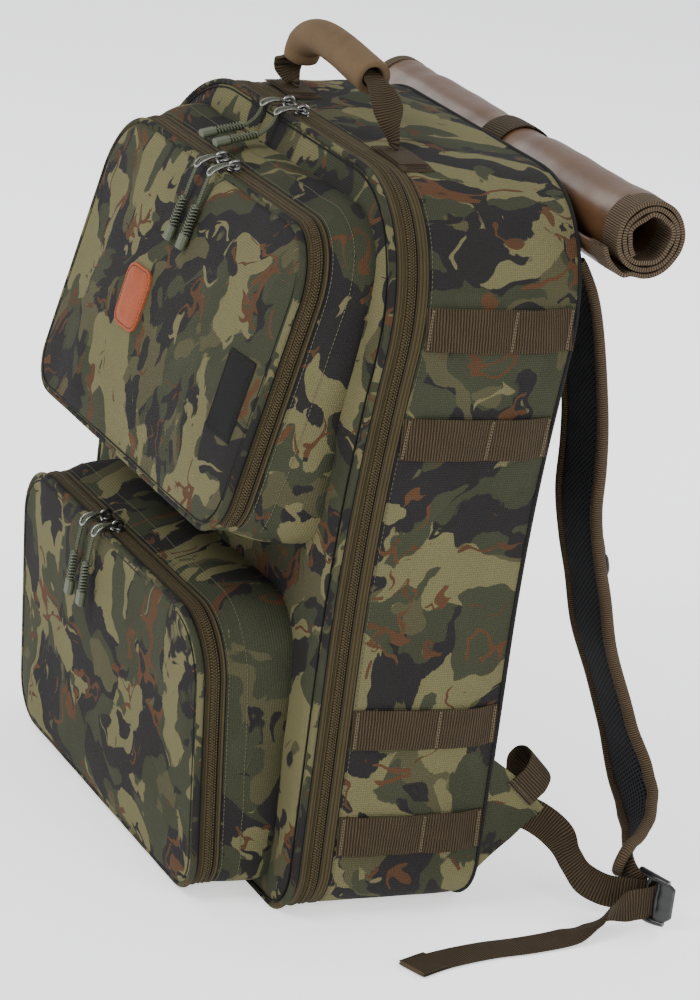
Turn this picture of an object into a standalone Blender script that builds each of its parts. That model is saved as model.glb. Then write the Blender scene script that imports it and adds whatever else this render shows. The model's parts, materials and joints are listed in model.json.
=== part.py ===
"""Camouflage tackle backpack: zip-round main compartment, two zipped front pockets,
carry handle, rolled mat on the top back edge and a pair of shoulder straps.

Metres, +Z up, the pockets face -Y, the straps face +Y and +X is the wearer's right.
The origin is on the underside, in the middle of the main compartment's base.
"""
import math

import bpy
import bmesh
from mathutils import Vector

# ---------------------------------------------------------------- driving dimensions
GAP = 0.0003                # clearance between touching pieces
CURVE_GAP = 0.0013          # the same where both faces follow the bag's lean
HALF_WIDTH = 0.2165         # main compartment, side to side / 2
HEIGHT = 0.530
HALF_DEPTH = 0.074          # front face to back face / 2, at the base
TOP_RADIUS = 0.110
FOOT_RADIUS = 0.038
WALL = 0.004                # padded fabric wall
LEAN = 0.29                 # the top of the soft bag leans back by LEAN * (z - LEAN_START)^2
LEAN_START = 0.200

TAPE = 0.0024               # zip tape thickness
MAIN_CHAIN = 0.0155         # front face to the middle of the main zip
MAIN_TAPE_END = 0.030       # front face to the rear edge of the rear tape
LID_THICKNESS = 0.004

POCKET_WALL = 0.003
POCKET_CHAIN = 0.011        # pocket front edge to the middle of its zip
POCKET_TAPE_END = 0.0205
POCKET_PANEL = 0.003
POCKET_BULGE = 0.008        # how far a stuffed pocket's front swells

# Each pocket as (half width, low z, high z, lower radius, upper radius) on the main lid
# and again on its own front, and the y of its front's low and high edges.
UPPER = dict(base=(0.190, 0.268, 0.507, 0.034, 0.055),
             front=(0.1775, 0.281, 0.494, 0.028, 0.046), front_y=(-0.150, -0.100))
LOWER = dict(base=(0.182, 0.006, 0.226, 0.034, 0.050),
             front=(0.1770, 0.006, 0.213, 0.030, 0.045), front_y=(-0.133, -0.150))

LOOP_TOPS = (0.457, 0.379, 0.162, 0.080)    # upper edges of the side webbing loops
LOOP_WIDTH = 0.030

ROLL_CENTRE = (0.138, 0.508)                # y, z of the rolled mat
ROLL_RADIUS = 0.029
ROLL_ENDS = (-0.200, 0.216)
BINDING = 0.022                             # width of the mat's edge binding
BINDING_RISE = 0.0008
MAT_STRAP_WIDTH = 0.030
MAT_STRAP_LIFT = 0.0022

HANDLE_Y = -0.002
HANDLE_PIVOT_Z = 0.5345
HANDLE_TABS = {"left": (-0.120, -0.068), "right": (0.072, 0.126)}
TAB_WIDTH = 0.028
GRIP_RADIUS = 0.0132
GRIP_ENDS = (-0.088, 0.037)                 # x of the foam grip's ends
GRIP_LOW, GRIP_CLIMB = 0.5585, 0.0155       # height of its left end, and of the other end over it
GRIP_ARCH = 0.0185

STRAP_X = 0.150                             # middle of a shoulder pad
PAD_THICKNESS = 0.010
WEBBING = 0.025
WEBBING_THICKNESS = 0.0016

MAIN_SLIDERS = (-0.046, -0.020)
UPPER_SLIDERS = (-0.012, 0.012)
LOWER_SLIDERS = (-0.036, -0.012)

COLOURS = {
    "camo": (0.16, 0.17, 0.10), "tape": (0.13, 0.11, 0.06), "webbing": (0.10, 0.075, 0.045),
    "mesh": (0.02, 0.02, 0.02), "pvc": (0.20, 0.10, 0.04), "foam": (0.26, 0.18, 0.10),
    "plastic": (0.02, 0.02, 0.022), "metal": (0.25, 0.25, 0.26), "olive": (0.07, 0.09, 0.05),
    "leather": (0.55, 0.20, 0.08), "board": (0.05, 0.05, 0.05),
}
ROUGHNESS = {"pvc": 0.25, "plastic": 0.4, "metal": 0.35, "leather": 0.6}


def clear_scene():
    for old in list(bpy.data.objects):
        bpy.data.objects.remove(old, do_unlink=True)


def material(name, kind):
    made = bpy.data.materials.new(name)
    made.use_nodes = True
    shader = made.node_tree.nodes["Principled BSDF"]
    shader.inputs["Base Color"].default_value = (*COLOURS[kind], 1.0)
    shader.inputs["Roughness"].default_value = ROUGHNESS.get(kind, 0.85)
    shader.inputs["Metallic"].default_value = 1.0 if kind == "metal" else 0.0
    return made


def add_object(name, bm, kind, origin=(0, 0, 0)):
    """Turn a closed bmesh into an object whose origin sits on its joint's axis."""
    bmesh.ops.recalc_face_normals(bm, faces=bm.faces)
    bmesh.ops.translate(bm, verts=bm.verts, vec=-Vector(origin))
    mesh = bpy.data.meshes.new(name)
    bm.to_mesh(mesh)
    bm.free()
    mesh.shade_smooth()
    mesh.set_sharp_from_angle(angle=math.radians(35))
    mesh.materials.append(material(name + "_material", kind))
    made = bpy.data.objects.new(name, mesh)
    made.location = origin
    bpy.context.scene.collection.objects.link(made)
    return made


# ---------------------------------------------------------------- solids from rings
def loft(name, rings, kind, origin=(0, 0, 0), closed=False):
    """Skin a list of point rings; the ends are filled, or joined when closed is set."""
    bm = bmesh.new()
    loops = [[bm.verts.new(point) for point in ring] for ring in rings]
    pairs = list(zip(loops, loops[1:]))
    if closed:
        pairs.append((loops[-1], loops[0]))
    else:
        bm.faces.new(loops[0])
        bm.faces.new(loops[-1])
    for low, high in pairs:
        count = len(low)
        for i in range(count):
            j = (i + 1) % count
            bm.faces.new((low[i], low[j], high[j], high[i]))
    return add_object(name, bm, kind, origin)


def section(centre, across, normal, width, thickness):
    """The four corners of a flat strip's cross-section."""
    half, rise = across * width / 2, normal * thickness / 2
    return [centre - half - rise, centre + half - rise, centre + half + rise, centre - half + rise]


def ribbon(name, points, across, widths, thickness, kind, origin=(0, 0, 0)):
    """A flat strip along points; across, widths and thickness are one value, or one a point."""
    points = [Vector(p) for p in points]
    count = len(points)
    if not hasattr(across[0], "__len__"):
        across = [across] * count
    if not hasattr(widths, "__len__"):
        widths = [widths] * count
    if not hasattr(thickness, "__len__"):
        thickness = [thickness] * count
    rings = []
    for i, centre in enumerate(points):
        ahead = points[min(i + 1, count - 1)] - points[max(i - 1, 0)]
        normal = ahead.cross(Vector(across[i])).normalized()
        side = normal.cross(ahead).normalized()
        rings.append(section(centre, side, normal, widths[i], thickness[i]))
    return loft(name, rings, kind, origin)


def tube(name, points, radius, kind, origin=(0, 0, 0), sides=12, closed=False):
    """A round bar along points that all lie in one plane of constant y."""
    points = [Vector(p) for p in points]
    count = len(points)
    rings = []
    for i, centre in enumerate(points):
        last = points[i - 1] if closed or i else points[0]
        following = points[(i + 1) % count] if closed or i < count - 1 else points[-1]
        ahead = (following - last).normalized()
        first = Vector((0, 1, 0)) - ahead * ahead.y
        first.normalize()
        second = ahead.cross(first)
        turns = [2 * math.pi * k / sides for k in range(sides)]
        rings.append([centre + (first * math.cos(a) + second * math.sin(a)) * radius for a in turns])
    return loft(name, rings, kind, origin, closed)


def box(name, low, high, kind):
    corners = [(low[0], low[1]), (high[0], low[1]), (high[0], high[1]), (low[0], high[1])]
    rings = [[(x, y, z) for x, y in corners] for z in (low[2], high[2])]
    return loft(name, rings, kind)


def mirrored(points, side):
    """Points given for the right-hand (+X) side, flipped over when side is -1."""
    return [(side * p[0], p[1], p[2]) for p in points]


# ---------------------------------------------------------------- outlines
def lean(z):
    return LEAN * max(0.0, z - LEAN_START) ** 2


def outline(half_width, low, high, low_radius, high_radius, inset=0.0):
    """(x, z) of a rounded rectangle, anticlockwise from the foot of its lower right corner."""
    half_width, low, high = half_width - inset, low + inset, high - inset
    low_radius, high_radius = max(low_radius - inset, 0.002), max(high_radius - inset, 0.002)
    points = []

    def corner(cx, cz, radius, start, steps):
        for k in range(steps + 1):
            a = math.radians(start + 90.0 * k / steps)
            points.append((cx + radius * math.cos(a), cz + radius * math.sin(a)))

    def straight(steps, end):
        begin = points[-1]
        for k in range(1, steps):
            points.append(tuple(p + (q - p) * k / steps for p, q in zip(begin, end)))

    corner(half_width - low_radius, low + low_radius, low_radius, -90, 5)
    straight(6, (half_width, high - high_radius))
    corner(half_width - high_radius, high - high_radius, high_radius, 0, 8)
    straight(3, (-half_width + high_radius, high))
    corner(-half_width + high_radius, high - high_radius, high_radius, 90, 8)
    straight(6, (-half_width, low + low_radius))
    corner(-half_width + low_radius, low + low_radius, low_radius, 180, 5)
    straight(3, (half_width - low_radius, low))
    return points


def main_ring(y, inset=0.0, shrink=1.0):
    """The main compartment's outline at depth y, leaned back like the rest of the bag."""
    points = outline(HALF_WIDTH, 0.0, HEIGHT, FOOT_RADIUS, TOP_RADIUS, inset)
    middle = HEIGHT / 2
    points = [(x * shrink, middle + (z - middle) * shrink) for x, z in points]
    return [Vector((x, y + lean(z), z)) for x, z in points]


CAP_STEPS = (0.3, 0.65)


def plate_rings(y_low, y_high, inset=0.0, ring=main_ring):
    """Rings of a plate that fills the main outline between two depths."""
    back = [ring(y_high, inset, s) for s in CAP_STEPS] + [ring(y_high, inset)]
    front = [ring(y_low, inset)] + [ring(y_low, inset, s) for s in reversed(CAP_STEPS)]
    return back + front


def side_x(z):
    """How far out the side of the main compartment is at height z."""
    rise = z - (HEIGHT - TOP_RADIUS)
    if rise <= 0:
        return HALF_WIDTH
    return HALF_WIDTH - TOP_RADIUS + math.sqrt(TOP_RADIUS ** 2 - rise ** 2)


# ---------------------------------------------------------------- main compartment
def main_compartment():
    front = -HALF_DEPTH + MAIN_TAPE_END + GAP
    back, inner = HALF_DEPTH, HALF_DEPTH - WALL
    rings = [main_ring(back, 0, s) for s in CAP_STEPS] + [main_ring(back), main_ring(front)]
    rings += [main_ring(front, WALL), main_ring(inner, WALL)]
    rings += [main_ring(inner, WALL, s) for s in reversed(CAP_STEPS)]
    loft("main_shell", rings, "camo")

    chain, end = -HALF_DEPTH + MAIN_CHAIN, -HALF_DEPTH + MAIN_TAPE_END
    lid_back = -HALF_DEPTH + LID_THICKNESS
    for name, low, high in (("main_zip_tape_rear", chain + GAP, end),
                            ("main_zip_tape_front", lid_back + GAP, chain - GAP)):
        rings = [main_ring(low), main_ring(high), main_ring(high, TAPE), main_ring(low, TAPE)]
        loft(name, rings, "tape", (0, chain, 0) if low < chain else (0, 0, 0), closed=True)
    loft("main_lid_panel", plate_rings(-HALF_DEPTH, lid_back), "camo", (0, chain, 0))

    sheet_back = inner - CURVE_GAP
    loft("frame_sheet", plate_rings(sheet_back - 0.002, sheet_back, WALL + 0.010), "board")
    low = (-0.170, -0.038, WALL + GAP)
    box("base_board", low, (0.170, sheet_back - 0.004, WALL + 0.003), "board")


def back_padding():
    """The padded mesh back and the two vertical ribs on it."""
    face = HALF_DEPTH + 0.0085

    def back_ring(y, inset, shrink=1.0):
        points = outline(0.204, 0.012, 0.458, 0.030, 0.060, inset)
        middle = 0.235
        points = [(x * shrink, middle + (z - middle) * shrink) for x, z in points]
        return [Vector((x, y + lean(z), z)) for x, z in points]

    loft("back_panel", plate_rings(HALF_DEPTH + CURVE_GAP, face, 0.0, back_ring), "mesh")

    for side, label in ((1, "right"), (-1, "left")):
        levels = [0.050 + 0.380 * k / 7 for k in range(8)]
        spine = [(side * 0.088, face + 0.0065 + lean(z), z) for z in levels]
        ribbon("back_pad_" + label, spine, (1, 0, 0), 0.105, 0.011, "mesh")


def side_loops():
    """Webbing sewn flat on each side, in four rows."""
    count = 6
    start, end = -HALF_DEPTH + MAIN_TAPE_END + 0.001, HALF_DEPTH - 0.001
    for side, label in ((1, "right"), (-1, "left")):
        for row, top in enumerate(LOOP_TOPS, 1):
            low = top - LOOP_WIDTH
            centre_z = (top + low) / 2
            rise = Vector((side * (side_x(top) - side_x(low)), 0, LOOP_WIDTH))
            x = max(side_x(centre_z), (side_x(top) + side_x(low)) / 2) + 0.0018
            spine = []
            for k in range(count):
                t = k / (count - 1)
                swell = 0.001 * math.sin(math.pi * t)
                spine.append((side * (x + swell), start + (end - start) * t + lean(centre_z), centre_z))
            ribbon(f"side_loop_{label}_{row}", spine, rise, LOOP_WIDTH, WEBBING_THICKNESS, "webbing")


# ---------------------------------------------------------------- front pockets
def pocket_ring(pocket, distance, inset=0.0, at_base=False):
    """A pocket's outline at a distance behind its front edge, or where it meets the lid."""
    base = outline(*pocket["base"], inset)
    front = outline(*pocket["front"], inset)
    low, high = pocket["front"][1:3]
    y_low, y_high = pocket["front_y"]
    ring = []
    for (bx, bz), (fx, fz) in zip(base, front):
        root = Vector((bx, -HALF_DEPTH + lean(bz) - 2 * GAP, bz))
        edge = Vector((fx, y_low + (y_high - y_low) * (fz - low) / (high - low), fz))
        ring.append(root if at_base else edge + (root - edge).normalized() * distance)
    return ring


def swollen_cap(ring, forward):
    """Rings that close a pocket panel's face, swelling toward its middle."""
    middle = sum(ring, Vector()) / len(ring)
    caps = []
    for shrink in (0.92, 0.72, 0.45, 0.18):
        swell = forward * POCKET_BULGE * (1 - shrink ** 2)
        caps.append([middle + (point - middle) * shrink + swell for point in ring])
    return caps


def pocket_forward(pocket):
    """The way a pocket's front faces."""
    low, high = pocket["front"][1:3]
    slope = (pocket["front_y"][1] - pocket["front_y"][0]) / (high - low)
    return Vector((0, -1, slope)).normalized()


def pocket_hinge(pocket):
    """The middle of the seam that a pocket's lid folds on, at the foot of its zip."""
    seam = min(pocket_ring(pocket, POCKET_CHAIN), key=lambda p: (round(p.z, 5), abs(p.x)))
    return (0, round(seam.y, 4), round(seam.z, 4))


def front_pocket(name, pocket):
    hinge = pocket_hinge(pocket)
    end = POCKET_TAPE_END + GAP
    rings = [pocket_ring(pocket, 0, at_base=True), pocket_ring(pocket, end)]
    rings += [pocket_ring(pocket, end, POCKET_WALL), pocket_ring(pocket, 0, POCKET_WALL, at_base=True)]
    loft(name + "_pocket_shell", rings, "camo", closed=True)

    spans = (("rear", POCKET_CHAIN + GAP, POCKET_TAPE_END, (0, 0, 0)),
             ("front", POCKET_PANEL + GAP, POCKET_CHAIN - GAP, hinge))
    for label, near, far, origin in spans:
        rings = [pocket_ring(pocket, near), pocket_ring(pocket, far)]
        rings += [pocket_ring(pocket, far, TAPE), pocket_ring(pocket, near, TAPE)]
        loft(f"{name}_zip_tape_{label}", rings, "tape", origin, closed=True)

    forward = pocket_forward(pocket)
    back_ring, front_ring = pocket_ring(pocket, POCKET_PANEL), pocket_ring(pocket, 0)
    rings = swollen_cap(back_ring, forward)[::-1] + [back_ring, front_ring]
    loft(name + "_pocket_lid", rings + swollen_cap(front_ring, forward), "camo", hinge)


def leather_patch():
    """A plain sewn patch on the upper pocket."""
    forward = pocket_forward(UPPER)
    up = Vector((1, 0, 0)).cross(forward) * -1
    low, high = UPPER["front"][1:3]
    y_low, y_high = UPPER["front_y"]
    height = 0.385
    face_y = y_low + (y_high - y_low) * (height - low) / (high - low)
    centre = Vector((-0.040, face_y, height)) + forward * (POCKET_BULGE + 0.0006)
    shape = outline(0.019, -0.024, 0.024, 0.010, 0.010)
    rings = []
    for depth in (0, 0.0018):
        rings.append([centre + Vector((x, 0, 0)) + up * z + forward * depth for x, z in shape])
    loft("leather_patch", rings, "leather", pocket_hinge(UPPER))


# ---------------------------------------------------------------- zip sliders and pulls
SLIDER = (0.013, 0.009, 0.004)              # length, width, height of the body
BRIDGE = (0.007, 0.003, 0.0025)
PULL_START = 0.0024                         # from the bridge's axis to the pull


def zip_slider(name, x, y, z, slope):
    """A slider on a top zip run; returns the middle of its bridge, where the pull swings."""
    tilt = math.radians(slope)
    forward = Vector((0, -math.cos(tilt), -math.sin(tilt)))
    up = Vector((0, -math.sin(tilt), math.cos(tilt)))
    right = Vector((1, 0, 0))
    seat = Vector((x, y, z)) + up * 0.0006

    def ring(length, width, height):
        return section(seat + up * height, right, forward, length, width)

    top = SLIDER[2]
    rings = [ring(SLIDER[0] * 0.8, SLIDER[1] * 0.8, 0), ring(SLIDER[0], SLIDER[1], 0.001)]
    rings += [ring(SLIDER[0], SLIDER[1], top - 0.0008), ring(SLIDER[0] * 0.85, SLIDER[1] * 0.85, top)]
    rings += [ring(BRIDGE[0], BRIDGE[1], top), ring(BRIDGE[0], BRIDGE[1], top + BRIDGE[2])]
    loft(name, rings, "metal", seat)
    return seat + up * (top + BRIDGE[2] / 2 + 0.0001)


# Routes of the pulls as (forward, up) from the bridge's axis: wire link, cord, grip.
FLAT_ROUTE = ((0.0024, 0), (0.012, 0), (0.019, -0.003), (0.024, -0.013), (0.032, -0.0195),
              (0.034, -0.0200), (0.052, -0.0240), (0.054, -0.0245))
UPPER_ROUTE = ((0.0024, 0), (0.010, -0.001), (0.0175, -0.005), (0.0215, -0.014), (0.0265, -0.032),
               (0.0270, -0.034), (0.0350, -0.061), (0.0356, -0.063))
LOWER_ROUTE = ((0.0024, 0), (0.010, -0.0005), (0.0165, -0.004), (0.0195, -0.013), (0.0205, -0.030),
               (0.0206, -0.032), (0.0206, -0.061), (0.0206, -0.063))
PULL_WIDTHS = (0.006, 0.006, 0.006, 0.005, 0.003, 0.008, 0.008, 0.006)
PULL_DEPTHS = (0.0018, 0.0018, 0.0018, 0.0018, 0.0022, 0.0042, 0.0042, 0.003)


def zip_pull(name, axis, route):
    points = [axis + Vector((0, -ahead, rise)) for ahead, rise in route]
    ribbon(name, points, (1, 0, 0), PULL_WIDTHS, PULL_DEPTHS, "olive", axis)


def zips():
    main_y = -HALF_DEPTH + MAIN_CHAIN + lean(HEIGHT)
    tops = {"main": (MAIN_SLIDERS, main_y, HEIGHT, 0, FLAT_ROUTE)}
    for name, pocket, places, slope, route in (("upper", UPPER, UPPER_SLIDERS, 13, UPPER_ROUTE),
                                               ("lower", LOWER, LOWER_SLIDERS, 9, LOWER_ROUTE)):
        crest = max(pocket_ring(pocket, POCKET_CHAIN), key=lambda p: p.z)
        tops[name] = (places, crest.y, crest.z, slope, route)
    for name, (places, y, z, slope, route) in tops.items():
        for x, label in zip(places, ("left", "right")):
            axis = zip_slider(f"{name}_slider_{label}", x, y, z, slope)
            zip_pull(f"{name}_pull_{label}", axis, route)


# ---------------------------------------------------------------- carry handle
def grip_point(t):
    """A point on the grip's middle line, which climbs steeply at its left end."""
    rise = GRIP_CLIMB * t + GRIP_ARCH * math.sin(math.pi * math.sqrt(t))
    return (GRIP_ENDS[0] + (GRIP_ENDS[1] - GRIP_ENDS[0]) * t, HANDLE_Y, GRIP_LOW + rise)


# Middle lines of the handle's legs in x and z, from the tab up to the grip, and the
# strip's direction (as an angle from +X) and width at each of their points.
LEGS = {"left": ((-0.094, 0.5348), (-0.0945, 0.5390), (-0.1035, 0.5440), (-0.109, 0.5490), (-0.0985, 0.5535)),
        "right": ((0.082, 0.5348), (0.082, 0.5390), (0.0755, 0.5485), (0.064, 0.5610), (0.048, 0.5705))}
LEG_TURN = (0.12, 0.5, 1.0, 1.3, math.pi / 2)
LEG_WIDTHS = (0.010, 0.013, 0.018, 0.020, 0.020)
LEG_THICKNESS = 0.003


def carry_handle():
    pivot = (0, HANDLE_Y, HANDLE_PIVOT_Z)
    for label, (start, end) in HANDLE_TABS.items():
        low = (start, HANDLE_Y - TAB_WIDTH / 2, HEIGHT + GAP)
        box("handle_tab_" + label, low, (end, HANDLE_Y + TAB_WIDTH / 2, HEIGHT + 0.0022), "webbing")

    arch = [grip_point(k / 14) for k in range(15)]
    tube("handle_grip", arch, GRIP_RADIUS, "foam", pivot)

    turn = [(math.cos(a), math.sin(a), 0) for a in LEG_TURN]
    for label, route in LEGS.items():
        points = [(x, HANDLE_Y, z) for x, z in route]
        ribbon("handle_leg_" + label, points, turn, LEG_WIDTHS, LEG_THICKNESS, "webbing", pivot)


# ---------------------------------------------------------------- rolled mat
ROLL_SEAM = 230             # degrees round the roll where its flap turns up to the bag
FLAP = ((0.1036, 0.5000), (0.1020, 0.4975))     # (y, z) of the flap's sewn edge


def roll_section(radius, flap=()):
    """(y, z) of the rolled mat, clockwise from its seam; flap points close the outline."""
    cy, cz = ROLL_CENTRE
    sweep = 341 if flap else 345
    steps = 24
    turns = [math.radians(ROLL_SEAM - sweep * k / steps) for k in range(steps + 1)]
    return [(cy + radius * math.cos(a), cz + radius * math.sin(a)) for a in turns] + list(flap)


def mat():
    low, high = ROLL_ENDS
    pieces = (("mat_binding_left", low, low + BINDING, roll_section(ROLL_RADIUS + BINDING_RISE), "webbing"),
              ("mat_sheet", low + BINDING + GAP, high - BINDING - GAP, roll_section(ROLL_RADIUS, FLAP), "pvc"),
              ("mat_binding_right", high - BINDING, high, roll_section(ROLL_RADIUS + BINDING_RISE), "webbing"))
    for name, start, end, shape, kind in pieces:
        loft(name, [[(x, y, z) for y, z in shape] for x in (start, end)], kind)

    cy, cz = ROLL_CENTRE
    reach = ROLL_RADIUS + MAT_STRAP_LIFT
    turns = [math.radians(188 - 250 * k / 16) for k in range(17)]
    spine = [(0, cy + reach * math.cos(a), cz + reach * math.sin(a)) for a in turns]
    ribbon("mat_strap", spine, (1, 0, 0), MAT_STRAP_WIDTH, WEBBING_THICKNESS, "webbing")


# ---------------------------------------------------------------- shoulder straps
# Middle line of the right pad as (x, y, z, width): it bows away from the back and
# splays outward at the foot, where it curls forward to the ladder lock.
PAD_ROUTE = (
    (0.150, 0.1038, 0.485, 0.060), (0.150, 0.1130, 0.472, 0.060), (0.150, 0.1240, 0.450, 0.060),
    (0.150, 0.1340, 0.415, 0.060), (0.150, 0.1450, 0.362, 0.060), (0.150, 0.1495, 0.325, 0.060),
    (0.150, 0.1515, 0.290, 0.060), (0.150, 0.1600, 0.254, 0.060), (0.150, 0.1700, 0.223, 0.060),
    (0.151, 0.1810, 0.183, 0.060), (0.154, 0.1980, 0.143, 0.058), (0.162, 0.2070, 0.114, 0.056),
    (0.176, 0.2130, 0.087, 0.052), (0.194, 0.2140, 0.068, 0.044), (0.212, 0.2080, 0.056, 0.036),
    (0.227, 0.1970, 0.047, 0.030), (0.238, 0.1840, 0.042, 0.027))
WEBBING_ROUTE = (
    (0.196, 0.105, 0.070), (0.202, 0.126, 0.062), (0.210, 0.142, 0.050), (0.222, 0.148, 0.036),
    (0.234, 0.154, 0.026), (0.244, 0.166, 0.0205), (0.252, 0.1795, 0.0200), (0.2560, 0.1880, 0.0200))
TAIL_ROUTE = (
    (0.2680, 0.1890, 0.0185), (0.2678, 0.178, 0.0175), (0.268, 0.160, 0.0130), (0.273, 0.143, 0.0065), (0.279, 0.120, 0.0016),
    (0.284, 0.085, 0.0012), (0.287, 0.050, 0.0012), (0.295, 0.012, 0.0012), (0.306, -0.017, 0.0012))
LOCK_CENTRE = (0.264, 0.1960, 0.0215)
LOCK_TURN = 75                              # degrees that a lock's plate faces away from +Y
WING = ((HALF_DEPTH + 0.0006, 0.117), (0.094, 0.103), (0.122, 0.077), (HALF_DEPTH + 0.0006, 0.031))
WING_FACES = (HALF_WIDTH - 0.0035, HALF_WIDTH - 0.001)
D_RING_PIVOT = (0.150, 0.1745, 0.2500)


def ladder_lock(name, side):
    """A moulded frame with two slots, its bars upright, seen edge-on from the side."""
    along = [-0.015, -0.011, -0.0074, 0.0004, 0.0040, 0.015]
    up = [-0.019, -0.0135, 0.0135, 0.019]
    slots = {(1, 1), (3, 1)}
    thickness = 0.0045
    bm = bmesh.new()
    turn = math.radians(LOCK_TURN)
    run = Vector((side * math.sin(turn), math.cos(turn), 0))
    normal = Vector((side * math.cos(turn), -math.sin(turn), 0))
    centre = Vector((side * LOCK_CENTRE[0], LOCK_CENTRE[1], LOCK_CENTRE[2]))
    made = {}

    def corner(i, j, face):
        key = (i, j, face)
        if key not in made:
            point = centre + run * along[i] + Vector((0, 0, up[j])) + normal * (face - 0.5) * thickness
            made[key] = bm.verts.new(point)
        return made[key]

    cells = [(i, j) for i in range(len(along) - 1) for j in range(len(up) - 1) if (i, j) not in slots]
    for i, j in cells:
        for face in (0, 1):
            bm.faces.new([corner(a, b, face) for a, b in ((i, j), (i + 1, j), (i + 1, j + 1), (i, j + 1))])
        walls = (((i, j), (i + 1, j), (i, j - 1)), ((i + 1, j), (i + 1, j + 1), (i + 1, j)),
                 ((i + 1, j + 1), (i, j + 1), (i, j + 1)), ((i, j + 1), (i, j), (i - 1, j)))
        for first, second, beyond in walls:
            if beyond not in cells:
                quad = (corner(*first, 0), corner(*second, 0), corner(*second, 1), corner(*first, 1))
                bm.faces.new(quad)
    add_object(name, bm, "plastic")


def d_ring(name, side):
    """A moulded D hanging in its keeper on the outer face of the pad."""
    pivot = Vector((side * D_RING_PIVOT[0], D_RING_PIVOT[1], D_RING_PIVOT[2]))
    down = Vector((0, 0.31, -1)).normalized()
    half, depth = 0.0125, 0.019
    flat = [(half, 0), (0, 0), (-half, 0)]
    bow = [(-half * math.cos(math.pi * k / 8), 0.006 + (depth - 0.006) * math.sin(math.pi * k / 8))
           for k in range(9)]
    rings = []
    shape = flat + bow
    count = len(shape)
    places = [pivot + Vector((x, 0, 0)) + down * d for x, d in shape]
    face = Vector((1, 0, 0)).cross(down).normalized()
    for i, centre in enumerate(places):
        ahead = (places[(i + 1) % count] - places[i - 1]).normalized()
        second = ahead.cross(face)
        turns = [2 * math.pi * k / 8 for k in range(8)]
        rings.append([centre + (face * math.cos(a) + second * math.sin(a)) * 0.0015 for a in turns])
    loft(name, rings, "plastic", pivot, closed=True)


def shoulder_strap(side, label):
    pivot = mirrored([PAD_ROUTE[0][:3]], side)[0]
    pad = mirrored([p[:3] for p in PAD_ROUTE], side)
    depths = [0.006, 0.009] + [PAD_THICKNESS] * 11 + [0.009, 0.008, 0.007, 0.006]
    across = [(1, 0, 0)] * 12 + [(1, side * 0.1, 0.1), (1, side * 0.1, 0.3), (1, side * 0.1, 0.8),
                                 (0.7, side * 0.1, 1.2), (0.4, side * 0.1, 1.4)]
    across = [(a[0], a[1], a[2] * side) for a in across]
    ribbon("shoulder_pad_" + label, pad, across, [p[3] for p in PAD_ROUTE], depths, "mesh", pivot)

    lower = mirrored(WEBBING_ROUTE, side)
    across = [(0, 0.55, 0.83), (0, 0.4, 0.9)] + [(0, 0, 1)] * 6
    ribbon("lower_webbing_" + label, lower, across, WEBBING, WEBBING_THICKNESS, "webbing", pivot)

    tail = mirrored(TAIL_ROUTE, side)
    across = [(0, 0, side), (0, 0, side), (0.5, 0, 0.8 * side), (0.9, 0, 0.35 * side)] + [(1, 0, 0)] * 5
    ribbon("webbing_tail_" + label, tail, across, WEBBING, WEBBING_THICKNESS, "webbing", pivot)

    ladder_lock("ladder_lock_" + label, side)
    d_ring("d_ring_" + label, side)

    rings = [[(side * x, y, z) for y, z in WING] for x in WING_FACES]
    loft("wing_" + label, rings, "camo")


clear_scene()
main_compartment()
back_padding()
side_loops()
front_pocket("upper", UPPER)
front_pocket("lower", LOWER)
leather_patch()
zips()
carry_handle()
mat()
shoulder_strap(1, "right")
shoulder_strap(-1, "left")
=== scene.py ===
"""Looks of the camouflage tackle backpack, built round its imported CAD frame."""
import json
import math

import bpy
import bmesh
from mathutils import Matrix, Vector, noise
from mathutils.bvhtree import BVHTree


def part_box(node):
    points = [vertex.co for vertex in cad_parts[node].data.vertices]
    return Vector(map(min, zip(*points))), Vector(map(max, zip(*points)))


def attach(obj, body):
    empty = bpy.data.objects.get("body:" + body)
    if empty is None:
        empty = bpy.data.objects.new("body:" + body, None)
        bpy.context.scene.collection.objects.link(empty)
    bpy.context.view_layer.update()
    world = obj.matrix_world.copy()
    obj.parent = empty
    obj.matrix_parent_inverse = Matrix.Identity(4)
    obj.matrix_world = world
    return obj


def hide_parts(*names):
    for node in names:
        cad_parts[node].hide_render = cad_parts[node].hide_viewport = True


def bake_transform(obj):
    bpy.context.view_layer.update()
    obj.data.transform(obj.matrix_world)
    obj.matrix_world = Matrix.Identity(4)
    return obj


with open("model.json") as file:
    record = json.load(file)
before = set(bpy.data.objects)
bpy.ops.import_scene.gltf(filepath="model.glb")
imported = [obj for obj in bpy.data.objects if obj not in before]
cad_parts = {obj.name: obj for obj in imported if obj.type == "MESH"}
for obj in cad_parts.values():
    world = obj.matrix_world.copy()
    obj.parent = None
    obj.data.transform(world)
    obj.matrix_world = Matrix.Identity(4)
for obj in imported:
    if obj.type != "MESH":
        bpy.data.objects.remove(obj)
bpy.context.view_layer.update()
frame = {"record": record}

# ------------------------------------------------------------------ sizes, from the frame
HALF_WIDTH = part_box("main_shell")[1][0]
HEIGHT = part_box("main_shell")[1][2]
HALF_DEPTH = -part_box("main_lid_panel")[0][1]
JOINTS = {joint["name"]: joint for joint in frame["record"]["behaviour"]["joints"]}
LEAN, LEAN_START = 0.29, 0.200          # the soft top leans back by LEAN * (z - LEAN_START)^2
MAIN = dict(half=HALF_WIDTH, low=0.0, high=HEIGHT, low_r=0.038, high_r=0.110)
UPPER = dict(base=dict(half=0.190, low=0.268, high=0.507, low_r=0.034, high_r=0.055),
             front=dict(half=0.1775, low=0.281, high=0.494, low_r=0.028, high_r=0.046),
             front_y=(-0.150, -0.100), bulge=0.0095)
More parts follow.
